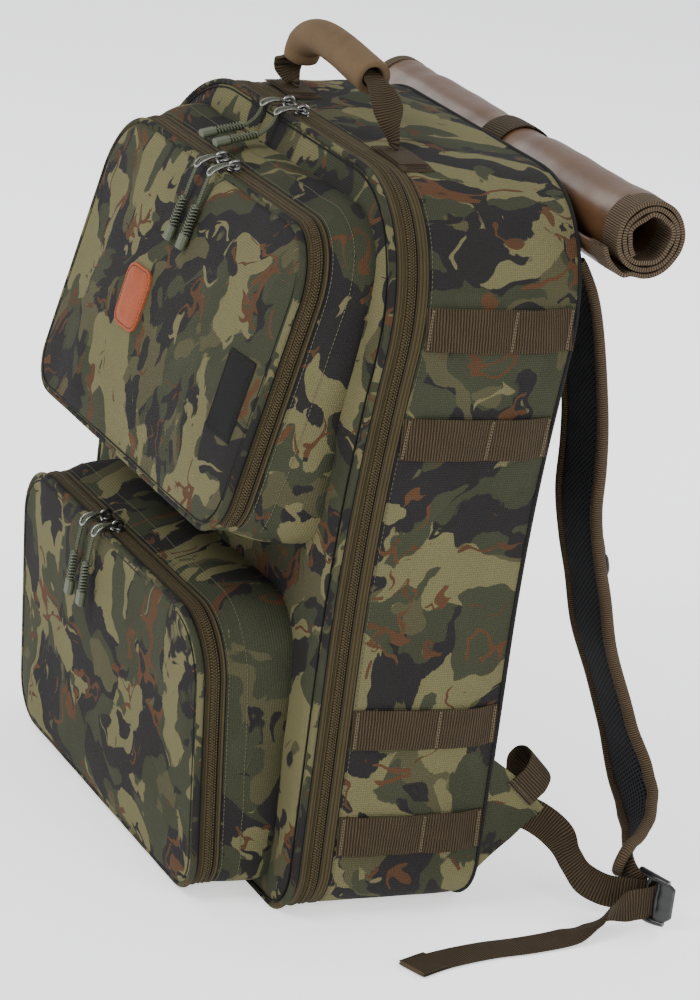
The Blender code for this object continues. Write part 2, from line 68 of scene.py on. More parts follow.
LOWER = dict(base=dict(half=0.182, low=0.006, high=0.226, low_r=0.034, high_r=0.050),
             front=dict(half=0.1770, low=0.006, high=0.213, low_r=0.030, high_r=0.045),
             front_y=(-0.133, -0.150), bulge=0.0085)
LOOP_TOPS = (0.457, 0.379, 0.162, 0.080)
LOOP_WIDTH = 0.030
WEBBING_WIDTH = 0.025                   # of the straps that are adjusted
WEBBING_THICKNESS = 0.0016
BACK_SEAM = 0.0012                      # from the back edge to its seam
ROLL_CENTRE = (0.138, 0.508)
ROLL_RADIUS = 0.029
STEP = 0.0055                           # spacing of the points along an outline
SIDES = ((1, "right"), (-1, "left"))


def lean(z):
    return LEAN * max(0.0, z - LEAN_START) ** 2


def smooth(t):
    t = min(1.0, max(0.0, t))
    return t * t * (3 - 2 * t)


# ------------------------------------------------------------------ materials
def scaled(colour, share):
    return tuple(c * share for c in colour)


class Nodes:
    """A short way to write a material's node tree."""

    def __init__(self, name, roughness=0.8, metallic=0.0, coat=0.0, specular=0.5):
        self.material = bpy.data.materials.new(name)
        self.material.use_nodes = True
        self.tree = self.material.node_tree
        self.shader = self.tree.nodes["Principled BSDF"]
        for socket, value in (("Roughness", roughness), ("Metallic", metallic), ("Coat Weight", coat),
                              ("Specular IOR Level", specular)):
            self.shader.inputs[socket].default_value = value
        self.uv = self.add("ShaderNodeTexCoord").outputs["UV"]
        self.where = self.tree.nodes[-1].outputs["Object"]

    def add(self, kind, **values):
        made = self.tree.nodes.new(kind)
        for key, value in values.items():
            setattr(made, key, value)
        return made

    def put(self, socket, value):
        if isinstance(value, bpy.types.NodeSocket):
            self.tree.links.new(value, socket)
        elif value is not None:
            if socket.type == "RGBA":
                value = (*value, 1.0)
            socket.default_value = value

    def math(self, operation, a, b=None, c=None):
        made = self.add("ShaderNodeMath", operation=operation)
        for socket, value in zip(made.inputs, (a, b, c)):
            self.put(socket, value)
        return made.outputs[0]

    def vector(self, operation, a, b=None):
        made = self.add("ShaderNodeVectorMath", operation=operation)
        self.put(made.inputs[0], a)
        if operation == "SCALE":
            self.put(made.inputs["Scale"], b)
        else:
            self.put(made.inputs[1], b)
        return made.outputs[0]

    def split(self, value):
        made = self.add("ShaderNodeSeparateXYZ")
        self.put(made.inputs[0], value)
        return made.outputs

    def noise(self, where, scale, detail=2.0, rough=0.5, stretch=None, colour=False):
        if stretch:
            where = self.vector("MULTIPLY", where, stretch)
        made = self.add("ShaderNodeTexNoise")
        self.put(made.inputs["Vector"], where)
        for socket, value in (("Scale", scale), ("Detail", detail), ("Roughness", rough)):
            made.inputs[socket].default_value = value
        return made.outputs["Color" if colour else "Fac"]

    def step(self, value, low, high):
        """0 below low, 1 above high, smooth between."""
        made = self.add("ShaderNodeMapRange", interpolation_type="SMOOTHSTEP")
        for socket, given in zip(made.inputs, (value, low, high, 0.0, 1.0)):
            self.put(socket, given)
        return made.outputs[0]

    def mix(self, amount, a, b, blend="MIX"):
        made = self.add("ShaderNodeMix", data_type="RGBA", blend_type=blend)
        self.put(made.inputs[0], amount)
        self.put(made.inputs[6], a)
        self.put(made.inputs[7], b)
        return made.outputs[2]

    def tint(self, amount, colour, pattern, dark, light):
        """Darkens and lightens a colour by a pattern, between two grey levels."""
        return self.mix(amount, colour, self.mix(pattern, (dark,) * 3, (light,) * 3), "OVERLAY")

    def wave(self, value, pitch):
        """A sine of a length, 0 to 1, repeating every pitch metres."""
        turned = self.math("SINE", self.math("MULTIPLY", value, 2 * math.pi / pitch))
        return self.math("MULTIPLY_ADD", turned, 0.5, 0.5)

    def bump(self, height, distance, strength=1.0, under=None):
        made = self.add("ShaderNodeBump")
        made.inputs["Strength"].default_value = strength
        made.inputs["Distance"].default_value = distance
        self.put(made.inputs["Height"], height)
        if under:
            self.put(made.inputs["Normal"], under)
        return made.outputs[0]

    def finish(self, colour, normal=None, roughness=None):
        self.put(self.shader.inputs["Base Color"], colour)
        if normal:
            self.put(self.shader.inputs["Normal"], normal)
        if roughness:
            self.put(self.shader.inputs["Roughness"], roughness)
        return self.material


def camo_material():
    """Woven polyester printed with brush strokes in olive, green, charcoal and rust."""
    n = Nodes("camo_fabric", roughness=0.92, specular=0.10)
    drift = n.vector("SUBTRACT", n.noise(n.uv, 6.0, 1.0, colour=True), (0.5, 0.5, 0.5))
    curl = n.vector("SUBTRACT", n.noise(n.uv, 26.0, 1.5, colour=True), (0.5, 0.5, 0.5))
    where = n.vector("ADD", n.uv, n.vector("SCALE", drift, 0.16))
    where = n.vector("ADD", where, n.vector("SCALE", curl, 0.050))

    def strokes(shift, level, scale=15.0):
        """Brush marks with hooked tails, whose ends feather a little."""
        place = n.vector("ADD", where, (shift, shift * 0.7, 0))
        shape = n.noise(place, scale, 1.2, 0.45, (1.0, 0.80, 1.0))
        bristles = n.noise(place, 240.0, 1.5, 0.5, (1.0, 0.10, 1.0))
        value = n.math("ADD", shape, n.math("MULTIPLY", n.math("SUBTRACT", bristles, 0.5), 0.050))
        return n.step(value, level - 0.004, level + 0.004)

    def twigs(shift, scale, width, rarity):
        """Short forked marks that taper out where their own mask ends."""
        place = n.vector("ADD", where, (shift, shift * 0.4, 0))
        ridge = n.math("ABSOLUTE", n.math("SUBTRACT", n.noise(place, scale, 2.2, 0.55), 0.5))
        present = n.math("SUBTRACT", n.noise(place, scale * 1.25, 1.0), rarity)
        reach = n.math("MINIMUM", n.math("MULTIPLY", present, 0.45), width)
        return n.step(n.math("SUBTRACT", ridge, reach), 0.003, -0.003)

    colour = (0.0370, 0.0400, 0.0240)
    for mark, ink in ((strokes(5.1, 0.515), (0.0200, 0.0185, 0.0185)),              # charcoal
                      (strokes(8.3, 0.590, 20.0), (0.0640, 0.0600, 0.0320)),        # olive
                      (strokes(1.3, 0.540), (0.1250, 0.1140, 0.0560)),              # light olive
                      (strokes(2.9, 0.610, 19.0), (0.0210, 0.0195, 0.0190)),
                      (strokes(7.7, 0.610, 22.0), (0.0400, 0.0430, 0.0260)),        # green
                      (twigs(21.0, 15.0, 0.018, 0.59), (0.1250, 0.1130, 0.0560)),
                      (twigs(24.0, 15.0, 0.018, 0.59), (0.0190, 0.0175, 0.0170)),
                      (twigs(11.0, 15.0, 0.017, 0.575), (0.0780, 0.0390, 0.0200)),  # rust
                      (twigs(14.5, 20.0, 0.017, 0.575), (0.0700, 0.0350, 0.0185))):
        colour = n.mix(mark, colour, ink)

    u, v, _ = n.split(n.uv)
    pitch = 0.0017
    weave = n.math("MULTIPLY", n.wave(u, pitch), n.wave(v, pitch))
    yarn = n.noise(n.uv, 900.0, 1.0)
    weave = n.math("ADD", weave, n.math("MULTIPLY", yarn, 0.35))
    fade = n.noise(n.uv, 16.0, 4.0, 0.6)
    colour = n.mix(0.36, colour, n.mix(weave, (0.16, 0.16, 0.15), (0.92, 0.92, 0.88)), "OVERLAY")
    colour = n.tint(0.25, colour, fade, 0.22, 0.74)
    creases = n.noise(n.uv, 42.0, 3.0, 0.55)
    return n.finish(colour, n.bump(weave, 0.00045, 0.9, n.bump(creases, 0.0024, 0.40)))


def ribbed_material(name, colour, pitch=0.0021, rise=0.0006):
    """Webbing, grosgrain and binding: ribs across the strip, u along it and v across it."""
    n = Nodes(name, roughness=0.72, specular=0.10)
    u, v, _ = n.split(n.uv)
    wobble = n.math("MULTIPLY", n.noise(n.uv, 160.0, 1.0), pitch * 0.5)
    rib = n.wave(n.math("ADD", u, wobble), pitch)
    thread = n.wave(v, 0.0011)
    height = n.math("ADD", rib, n.math("MULTIPLY", thread, 0.22))
    # painted shade in the gaps between the ribs and painted light on their crests
    base = n.mix(height, scaled(colour, 0.14), scaled(colour, 1.75))
    base = n.tint(0.4, base, n.noise(n.uv, 55.0, 4.0, 0.6), 0.2, 0.8)
    return n.finish(base, n.bump(height, rise, 0.9))


def tape_material():
    """Zip tape: a fine herringbone with lengthwise ridges beside the coil."""
    n = Nodes("zip_tape", roughness=0.82, specular=0.15)
    u, v, _ = n.split(n.uv)
    ridge = n.wave(v, 0.0026)
    twill = n.wave(n.math("ADD", u, n.math("MULTIPLY", n.wave(v, 0.0031), 0.0012)), 0.0011)
    height = n.math("ADD", n.math("MULTIPLY", ridge, 0.30), n.math("MULTIPLY", twill, 0.45))
    # painted shade: the dips of the weave and the furrows between the ridges are darker
    base = n.mix(height, (0.028, 0.021, 0.0095), (0.078, 0.059, 0.0260))
    base = n.tint(0.6, base, n.step(ridge, 0.0, 0.55), 0.20, 0.58)
    base = n.tint(0.4, base, n.noise(n.uv, 60.0, 3.0), 0.25, 0.72)
    return n.finish(base, n.bump(height, 0.0003, 0.8))


def coil_material():
    """The moulded monofilament of a zip's coil."""
    n = Nodes("zip_coil", roughness=0.6, specular=0.2)
    tone = n.noise(n.where, 400.0, 2.0)
    base = n.mix(tone, (0.045, 0.033, 0.016), (0.088, 0.067, 0.035))
    return n.finish(base, n.bump(tone, 0.0001, 0.4))


def mesh_material():
    """Black spacer mesh: rows of small round holes over dark foam, the holes painted near black as shade."""
    n = Nodes("air_mesh", roughness=0.9, specular=0.15)
    u, v, _ = n.split(n.uv)
    pitch = 0.0043
    first = n.wave(n.math("ADD", u, v), pitch)
    second = n.wave(n.math("SUBTRACT", u, v), pitch)
    hole = n.step(n.math("MULTIPLY", first, second), 0.16, 0.50)
    fibre = n.noise(n.uv, 1400.0, 2.0)
    height = n.math("SUBTRACT", n.math("MULTIPLY", fibre, 0.3), hole)
    # painted shade in the holes; the fine lighter specks on the fibres are their tone and painted highlights
    base = n.mix(hole, n.mix(fibre, (0.004, 0.004, 0.0045), (0.046, 0.046, 0.050)), (0.0004, 0.0004, 0.0004))
    return n.finish(base, n.bump(height, 0.0009, 0.9))


def lining_material():
    """Thin grey-green lining cloth with soft folds."""
    n = Nodes("lining", roughness=0.8, specular=0.2)
    u, v, _ = n.split(n.uv)
    weave = n.math("MULTIPLY", n.wave(u, 0.0011), n.wave(v, 0.0011))
    folds = n.noise(n.uv, 30.0, 4.0, 0.6)
    # painted shade and light: darker in the hollows of the folds, lighter on their crests
    base = n.mix(folds, (0.020, 0.021, 0.018), (0.045, 0.046, 0.038))
    base = n.tint(0.3, base, weave, 0.3, 0.7)
    return n.finish(base, n.bump(weave, 0.0002, 0.6, n.bump(folds, 0.003, 0.4)))


def pvc_material():
    """Glossy brown coated cloth with soft creases."""
    n = Nodes("mat_pvc", roughness=0.4, specular=0.45, coat=0.06)
    n.shader.inputs["Coat Roughness"].default_value = 0.32
    folds = n.noise(n.where, 26.0, 3.0, 0.5, (1.0, 1.6, 1.6))
    fine = n.noise(n.where, 420.0, 2.0)
    # painted shade and light: darker in the hollows of the folds, lighter on their crests
    base = n.mix(folds, (0.052, 0.023, 0.0095), (0.112, 0.054, 0.024))
    rough = n.math("MULTIPLY_ADD", n.noise(n.where, 60.0, 3.0), 0.16, 0.34)
    return n.finish(base, n.bump(fine, 0.0001, 0.25, n.bump(folds, 0.0028, 0.35)), rough)


def foam_material():
    """Closed-cell handle foam: matt, finely speckled, a little blotched by handling."""
    n = Nodes("foam_grip", roughness=0.92, specular=0.12)
    cells = n.noise(n.where, 1500.0, 2.0, 0.7)
    blotch = n.noise(n.where, 55.0, 4.0, 0.6)
    base = n.mix(blotch, (0.082, 0.053, 0.028), (0.140, 0.092, 0.051))
    base = n.tint(0.35, base, cells, 0.2, 0.85)
    return n.finish(base, n.bump(cells, 0.0003, 0.5))


def plastic_material(name, colour, roughness):
    """Moulded plastic with a fine grain and a little wear."""
    n = Nodes(name, roughness=roughness, specular=0.5)
    grain = n.noise(n.where, 900.0, 2.0)
    wear = n.noise(n.where, 70.0, 3.0)
    base = n.mix(wear, scaled(colour, 0.8), scaled(colour, 1.35))
    rough = n.math("MULTIPLY_ADD", wear, 0.2, roughness - 0.1)
    return n.finish(base, n.bump(grain, 0.00012, 0.4), rough)


def metal_material():
    """Dark nickel plate, brighter where it rubs."""
    n = Nodes("gunmetal", roughness=0.3, metallic=1.0)
    rub = n.noise(n.where, 230.0, 3.0, 0.6)
    base = n.mix(rub, (0.085, 0.083, 0.080), (0.33, 0.325, 0.31))
    rough = n.math("MULTIPLY_ADD", rub, 0.22, 0.18)
    return n.finish(base, n.bump(rub, 0.0001, 0.3), rough)


def leather_material():
    """Orange leather with pores and a mottled tone."""
    n = Nodes("leather", roughness=0.6, specular=0.25)
    pores = n.add("ShaderNodeTexVoronoi")
    n.put(pores.inputs["Vector"], n.uv)
    pores.inputs["Scale"].default_value = 900.0
    grain = pores.outputs["Distance"]
    tone = n.noise(n.uv, 90.0, 4.0, 0.6)
    base = n.mix(tone, (0.175, 0.032, 0.008), (0.310, 0.064, 0.017))
    base = n.tint(0.3, base, grain, 0.2, 0.8)
    return n.finish(base, n.bump(grain, 0.0004, 0.5))


def thread_material(name, colour):
    """Sewing thread, its twist read as a fine change of tone."""
    n = Nodes(name, roughness=0.8, specular=0.15)
    twist = n.noise(n.where, 1800.0, 1.0)
    base = n.mix(twist, scaled(colour, 0.6), scaled(colour, 1.4))
    return n.finish(base, n.bump(twist, 0.0001, 0.5))


CAMO = camo_material()
TAPE = tape_material()
COIL = coil_material()
WEBBING = ribbed_material("webbing", (0.037, 0.026, 0.0145))
COIL_THREAD = ribbed_material("coil_thread", (0.050, 0.038, 0.018))
BINDING = ribbed_material("binding", (0.056, 0.038, 0.022), pitch=0.0017, rise=0.0005)
MESH = mesh_material()
LINING = lining_material()
PVC = pvc_material()
FOAM = foam_material()
BUCKLE = plastic_material("buckle_plastic", (0.0065, 0.0065, 0.007), 0.32)
OLIVE = plastic_material("olive_moulding", (0.054, 0.063, 0.033), 0.6)
CORD = ribbed_material("pull_cord", (0.070, 0.077, 0.049), pitch=0.0012, rise=0.0002)
METAL = metal_material()
LEATHER = leather_material()
ROLL_BINDING = ribbed_material("roll_binding", (0.066, 0.047, 0.029), pitch=0.0018, rise=0.0005)
BLACK_BINDING = ribbed_material("black_binding", (0.012, 0.011, 0.011), pitch=0.0014, rise=0.0003)
# painted shade: dark lines beside the piping, in the grooves along the zip tapes and between the grip's ribs
PAINTED_SHADE = thread_material("dark_seam", (0.006, 0.006, 0.005))
THREAD = thread_material("thread", (0.100, 0.092, 0.058))
SEAM_THREAD = thread_material("seam_thread", (0.150, 0.118, 0.075))
DARK_THREAD = thread_material("dark_thread", (0.030, 0.022, 0.014))
LABEL = ribbed_material("woven_label", (0.007, 0.007, 0.007), pitch=0.0008, rise=0.0001)
BOARD = plastic_material("stiffener_board", (0.012, 0.012, 0.013), 0.5)


# ------------------------------------------------------------------ mesh building
def moved(marks, shift):
    return [(u + shift[0], v + shift[1]) for u, v in marks]


class Skin:
    """Gathers point grids, with UVs in metres, and turns them into one piece."""

    def __init__(self):
        self.points, self.faces, self.uvs, self.slots = [], [], [], []

    def face(self, corners, slot=0, marks=None):
        self.faces.append(corners)
        self.uvs.append(marks or [(0.0, 0.0)] * len(corners))
        self.slots.append(slot)

    def tube(self, rings, slot=0):
        """A closed bar through small rings, too fine to need UVs."""
        first, size = len(self.points), len(rings[0])
        for ring in rings:
            self.points.extend(ring)
        for k in range(len(rings) - 1):
            low = first + size * k
            for j in range(size):
                far = (j + 1) % size
                self.face([low + j, low + far, low + size + far, low + size + j], slot)
        for k in (0, len(rings) - 1):
            self.face([first + size * k + j for j in range(size)], slot)

    def grid(self, rows, slot=0, wrap=False, plane=None, shift=(0.0, 0.0), turn=False):
        """Joins rows of points. UVs follow the lengths along and across, or plane(point)."""
        first = len(self.points)
        count = len(rows[0])
        for row in rows:
            self.points.extend(row)
        middle = rows[len(rows) // 2]
        along = lengths(list(middle) + [middle[0]])
        across = [0.0]
        for low, high in zip(rows, rows[1:]):
            gaps = [(a - b).length for a, b in zip(low[::7], high[::7])]
            across.append(across[-1] + sum(gaps) / len(gaps))
        for i in range(len(rows) - 1):
            for j in range(count if wrap else count - 1):
                corners = ((i, j), (i, j + 1), (i + 1, j + 1), (i + 1, j))
                if plane:
                    marks = [plane(rows[a][b % count]) for a, b in corners]
                else:
                    marks = [(across[a], along[b]) if turn else (along[b], across[a]) for a, b in corners]
                self.face([first + a * count + b % count for a, b in corners], slot, moved(marks, shift))

    def fill(self, ring, slot=0, plane=None, shift=(0.0, 0.0)):
        """Closes a small ring with one face."""
        first = len(self.points)
        self.points.extend(ring)
        marks = [plane(p) if plane else (0.0, 0.0) for p in ring]
        self.face(list(range(first, first + len(ring))), slot, moved(marks, shift))

    def closed(self, rows, slot=0, plane=None, shift=(0.0, 0.0), turn=False, both=False):
        """Rings joined and closed at their last one, or at both ends."""
        self.grid(rows, slot, True, plane, shift, turn)
        if both:
            self.fill(rows[0], slot, plane, shift)
        self.fill(rows[-1], slot, plane, shift)

    def make(self, name, body, materials, slot, replaces=(), sharp=50):
        """Welds the grids into one mesh, as a piece that rides a body."""
        mesh = bpy.data.meshes.new(name)
        bm = bmesh.new()
        layer = bm.loops.layers.uv.new("UVMap")
        made = [bm.verts.new(p) for p in self.points]
        for corners, marks, index in zip(self.faces, self.uvs, self.slots):
            try:
                face = bm.faces.new([made[c] for c in corners])
            except ValueError:
                continue
            face.material_index = index
            for loop, mark in zip(face.loops, marks):
                loop[layer].uv = mark
        bmesh.ops.remove_doubles(bm, verts=bm.verts, dist=0.00002)
        bmesh.ops.dissolve_degenerate(bm, edges=bm.edges, dist=0.000001)
        bmesh.ops.recalc_face_normals(bm, faces=bm.faces)
        bm.to_mesh(mesh)
        bm.free()
        mesh.shade_smooth()
        mesh.set_sharp_from_angle(angle=math.radians(sharp))
        for material in materials:
            mesh.materials.append(material)
        piece = bpy.data.objects.new(name, mesh)
        bpy.context.scene.collection.objects.link(piece)
        if body:
            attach(piece, body)
        if replaces:
            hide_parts(*replaces)
        return piece


def fractions(count):
    """From 0 to 1 in equal steps."""
    return [k / count for k in range(count + 1)]


def lengths(points):
    """The distance along a line, at each of its points."""
    result = [0.0]
    for a, b in zip(points, points[1:]):
        result.append(result[-1] + (b - a).length)
    return result


def place_along(points, reached, want, k=0):
    """The point at a distance along a line, and the number of its stretch, sought from stretch k."""
    while k < len(reached) - 2 and reached[k + 1] < want:
        k += 1
    t = (want - reached[k]) / max(reached[k + 1] - reached[k], 1e-9)
    return points[k].lerp(points[k + 1], t), k


def value_at(value, i):
    """One of a list of values, or the same value everywhere."""
    return value[i] if isinstance(value, (list, tuple)) else value


def turned(direction, side):
    """A direction's unit vector and the two unit vectors that complete its frame."""
    ahead = Vector(direction).normalized()
    across = Vector(side) - ahead * Vector(side).dot(ahead)
    across.normalize()
    return ahead, across, ahead.cross(across)


def headings(points, closed=False):
    """The unit direction of a line at each of its points."""
    count = len(points)
    result = []
    for i in range(count):
        back = points[i - 1] if closed or i else points[0]
        front = points[(i + 1) % count] if closed or i < count - 1 else points[-1]
        result.append((front - back).normalized())
    return result


def rod(skin, points, radius, sides=10, closed=False, side=(0, 1, 0), slot=0, flat=1.0, turn=True):
    """A round or oval bar along points; radius is one value, or one for each point."""
    rows = []
    across = Vector(side)
    for i, (centre, ahead) in enumerate(zip(points, headings(points, closed))):
        _, across, up = turned(ahead, across)
        size = value_at(radius, i)
        angles = [2 * math.pi * k / sides for k in range(sides)]
        rows.append([centre + across * math.cos(a) * size + up * math.sin(a) * size * flat for a in angles])
    if closed:
        rows.append(rows[0])
    skin.grid(rows, slot, wrap=True, turn=turn)
    if not closed:
        skin.fill(rows[0], slot)
        skin.fill(rows[-1], slot)


def curve(points, count, closed=False):
    """Evenly spaced points on a smooth curve through given ones."""
    points = [Vector(p) for p in points]
    total = len(points)
    dense = []
    for i in range(total if closed else total - 1):
        if closed:
            a, b, c, d = (points[(i + k - 1) % total] for k in range(4))
        else:
            b, c = points[i], points[i + 1]
            a = points[i - 1] if i else b * 2 - c
            d = points[i + 2] if i + 2 < total else c * 2 - b
        for t in (k / 16 for k in range(16)):
            dense.append(0.5 * (2 * b + (c - a) * t + (2 * a - 5 * b + 4 * c - d) * t * t
                                + (3 * b - a - 3 * c + d) * t ** 3))
    dense.append(points[0] if closed else points[-1])
    reached = lengths(dense)
    result, k = [], 0
    spaces = count if closed else count - 1
    for i in range(count):
        at, k = place_along(dense, reached, reached[-1] * i / spaces, k)
        result.append(at)
    return result


def spread(values, count):
    """Values read evenly along a short list, with straight runs between."""
    result = []
    for i in range(count):
        t = i / (count - 1) * (len(values) - 1)
        k = min(int(t), len(values) - 2)
        result.append(values[k] + (values[k + 1] - values[k]) * (t - k))
    return result


def strap(skin, points, sides, width, thickness, columns=8, cup=0.0):
    """Webbing: a flat strip with thin rolled edges. sides point across it; cup curls it."""
    rows = []
    for i, (centre, ahead) in enumerate(zip(points, headings(points))):
        _, across, up = turned(ahead, sides[i])
        wide, deep, curl = value_at(width, i), value_at(thickness, i) / 2, value_at(cup, i)
        top, bottom = [], []
        for k in range(columns + 1):
            t = 2 * k / columns - 1
            taper = deep * (1 - 0.45 * abs(t) ** 6)
            at = centre + across * (wide / 2 * t * (1 - 0.35 * curl * curl))
            at = at + up * (curl * wide * 0.3 * (1 - t * t))
            top.append(at + up * taper)
            bottom.append(at - up * taper)
        rows.append(top + bottom[::-1])
    along = lengths(points)
    first, size = len(skin.points), len(rows[0])
    for row in rows:
        skin.points.extend(row)
    marks = [value_at(width, len(points) // 2) * k / columns for k in range(columns + 1)]
    marks = marks + marks[::-1]
    for i in range(len(points) - 1):
        for j in range(size):
            corners = ((i, j), (i, (j + 1) % size), (i + 1, (j + 1) % size), (i + 1, j))
            skin.face([first + a * size + b for a, b in corners], 0,
                      [(along[a], marks[b]) for a, b in corners])
    skin.fill(rows[0])
    skin.fill(rows[-1])


def stitches(skin, points, normals, pitch=0.0036, length=0.0025, radius=0.00032):
    """A row of short raised threads along a seam."""
    reached = lengths(points)
    count = int(reached[-1] / pitch)
    k = 0
    for number in range(count):
        at, k = place_along(points, reached, (number + 0.5) * reached[-1] / count, k)
        ahead = (points[k + 1] - points[k]).normalized()
        up = Vector(normals[k]).normalized()
        across = ahead.cross(up)
        rings = []
        for reach, lift, size in ((-0.5, -0.2, 0.5), (-0.25, 0.8, 1.0), (0.25, 0.8, 1.0), (0.5, -0.2, 0.5)):
            middle = at + ahead * reach * length + up * radius * lift
            rings.append([middle + (across * a + up * b) * radius * size
                          for a, b in ((-1, 0), (0, 1), (1, 0), (0, -1))])
        skin.tube(rings)


# ------------------------------------------------------------------ outlines of bag and pockets
def edge_steps(half, low, high, low_r, high_r):
    """How many points each stretch takes: low corner, side, high corner, top and foot."""
    return (max(5, round(1.571 * low_r / STEP)), round((high - low - low_r - high_r) / STEP),
            round(1.571 * high_r / STEP), round(2 * (half - high_r) / STEP), round(2 * (half - low_r) / STEP))


def outline(steps, half, low, high, low_r, high_r):
    """(x, z) round a rectangle with round corners, anticlockwise from below the right corner."""
    points = []

    def corner(cx, cz, radius, start, count):
        for k in range(count + 1):
            a = math.radians(start + 90.0 * k / count)
            points.append((cx + radius * math.cos(a), cz + radius * math.sin(a)))

    def straight(count, end):
        begin = points[-1]
        for k in range(1, count):
            points.append(tuple(p + (q - p) * k / count for p, q in zip(begin, end)))

    low_turn, side, high_turn, top, foot = steps
    corner(half - low_r, low + low_r, low_r, -90, low_turn)
    straight(side, (half, high - high_r))
    corner(half - high_r, high - high_r, high_r, 0, high_turn)
    straight(top, (-half + high_r, high))
    corner(-half + high_r, high - high_r, high_r, 90, high_turn)
    straight(side, (-half, low + low_r))
    corner(-half + low_r, low + low_r, low_r, 180, low_turn)
    straight(foot, (half - low_r, low))
    return points


class Rim:
    """An edge that a zip runs round: points by place along it, distance behind it and height."""

    def __init__(self, edge, roots, steps, forward):
        self.edge, self.roots, self.forward = edge, roots, forward
        self.count = len(edge)
        self.normals = []
        for i in range(self.count):
            ahead = edge[(i + 1) % self.count] - edge[i - 1]
            self.normals.append(Vector((ahead.z, 0, -ahead.x)).normalized())
        self.back = [(root - at).normalized() for at, root in zip(edge, roots)]
        self.depth = [(root - at).length for at, root in zip(edge, roots)]
        self.middle = sum(edge, Vector()) / self.count
        self.start = steps[0] // 2
        self.end = self.count - steps[4] - self.start

    def at(self, i, distance, height=0.0):
        i %= self.count
        return self.edge[i] + self.back[i] * distance + self.normals[i] * height

    def ring(self, distance, height=0.0):
        return [self.at(i, distance, height) for i in range(self.count)]

    def zip_run(self):
        return range(self.start, self.end + 1)

    def foot_run(self):
        return range(self.end, self.start + self.count + 1)

    def inward(self, share, lift=0.0):
        """The edge shrunk toward its middle and lifted along the forward direction."""
        return [self.middle + (p - self.middle) * share + self.forward * lift for p in self.edge]


def main_rim():
    steps = edge_steps(**MAIN)
    flat = outline(steps, **MAIN)
    edge = [Vector((x, -HALF_DEPTH + lean(z), z)) for x, z in flat]
    roots = [Vector((x, HALF_DEPTH + lean(z), z)) for x, z in flat]
    return Rim(edge, roots, steps, Vector((0, -1, 0)))


def pocket_rim(pocket):
    steps = edge_steps(**pocket["front"])
    base, front = outline(steps, **pocket["base"]), outline(steps, **pocket["front"])
    low, high = pocket["front"]["low"], pocket["front"]["high"]
    y_low, y_high = pocket["front_y"]
    slope = (y_high - y_low) / (high - low)
    edge = [Vector((x, y_low + slope * (z - low), z)) for x, z in front]
    roots = [Vector((x, -HALF_DEPTH + lean(z) - 0.0006, z)) for x, z in base]
    return Rim(edge, roots, steps, Vector((0, -1, slope)).normalized())


# ------------------------------------------------------------------ camera, lights and floor
def camera():
    data = bpy.data.cameras.new("camera")
    data.lens, data.sensor_width = 138.24, 36.0
    made = bpy.data.objects.new("camera", data)
    right, up, back = (Vector(v) for v in ((0.4116, 0.9029, 0.1238), (-0.3396, 0.0259, 0.9402),
                                           (0.8457, -0.4291, 0.3173)))
    turn = Matrix((right, up, back)).transposed().to_4x4()
    made.matrix_world = Matrix.Translation((2.4506, -1.2011, 1.1584)) @ turn
    bpy.context.scene.collection.objects.link(made)
    bpy.context.scene.camera = made


def light(name, place, target, size, power):
    data = bpy.data.lights.new(name, "AREA")
    data.shape, data.size, data.energy = "DISK", size, power
    made = bpy.data.objects.new(name, data)
    made.location = place
    made.rotation_euler = (Vector(target) - Vector(place)).to_track_quat("-Z", "Y").to_euler()
    bpy.context.scene.collection.objects.link(made)


def studio():
    """Four soft lights, a pale world and a white floor."""
    light("key", (0.5, -1.9, 2.1), (0, 0, 0.25), 1.3, 42)
    light("side", (2.6, 0.7, 1.6), (0, 0, 0.25), 1.5, 30)
    light("back", (-0.6, 2.1, 1.9), (0, 0, 0.3), 1.4, 34)
    light("left", (-2.2, -0.6, 1.3), (0, 0, 0.25), 1.4, 16)
    world = bpy.data.worlds.new("studio")
    world.use_nodes = True
    world.node_tree.nodes["Background"].inputs[0].default_value = (0.95, 0.97, 1.0, 1)
    world.node_tree.nodes["Background"].inputs[1].default_value = 0.88
    bpy.context.scene.world = world
    skin = Skin()
    skin.grid([[Vector((x, y, -0.0006)) for x in (-40, 0, 40)] for y in (-40, 0, 40)])
    n = Nodes("floor", roughness=0.9, specular=0.2)
    n.shader.inputs["Emission Color"].default_value = (1, 1, 1, 1)
    n.shader.inputs["Emission Strength"].default_value = 0.85
    floor = skin.make("floor", None, [n.finish((0.90, 0.90, 0.90))], None)


# ------------------------------------------------------------------ main compartment
MAIN_CHAIN, MAIN_END = 0.0155, 0.0300       # behind the edge: middle of the zip, end of its tape
POCKET_CHAIN, POCKET_END = 0.0110, 0.0205
HALF_GAP = 0.0004                           # from the middle of a zip to each tape
TAPE_DEPTH = 0.0022
LINING_DEPTH = 0.107                        # how far the main lining runs back along its walls
PITCH = 0.0021                              # of the coil's turns


def ripple(at, scale, seed):
    """A smooth signed value from place, for folds and dents."""
    return noise.noise(Vector(at) * scale + Vector((seed, seed * 0.37, seed * 0.71)))


def bag_height(at, share):
    """How far the stuffed side of the main compartment stands proud, share of the way back."""
    swell = 0.0042 * math.sin(math.pi * min(1, max(0, share))) ** 0.7
    folds = 0.0026 * ripple(at, 13, 3) + 0.0011 * ripple(at, 34, 8)
    edge = smooth(share / 0.12) * smooth((1 - share) / 0.10)
    foot = smooth(at.z / 0.02)
    return (swell + folds * edge) * (0.15 + 0.85 * foot) * smooth(share / 0.04)


def bag_place(rim, i, distance, lift=0.0):
    """A point on the stuffed side of the bag, at a distance behind its front edge."""
    share = (distance - MAIN_END) / (2 * HALF_DEPTH - MAIN_END)
    return rim.at(i, distance, bag_height(rim.at(i, distance), share) + lift)


def flat_xz(p):
    return p.x, p.z


def drawn_in(points, share):
    """(x, z) of points on the bag's outline, drawn in toward its middle."""
    return [(p.x * share, HEIGHT / 2 + (p.z - HEIGHT / 2) * share) for p in points]


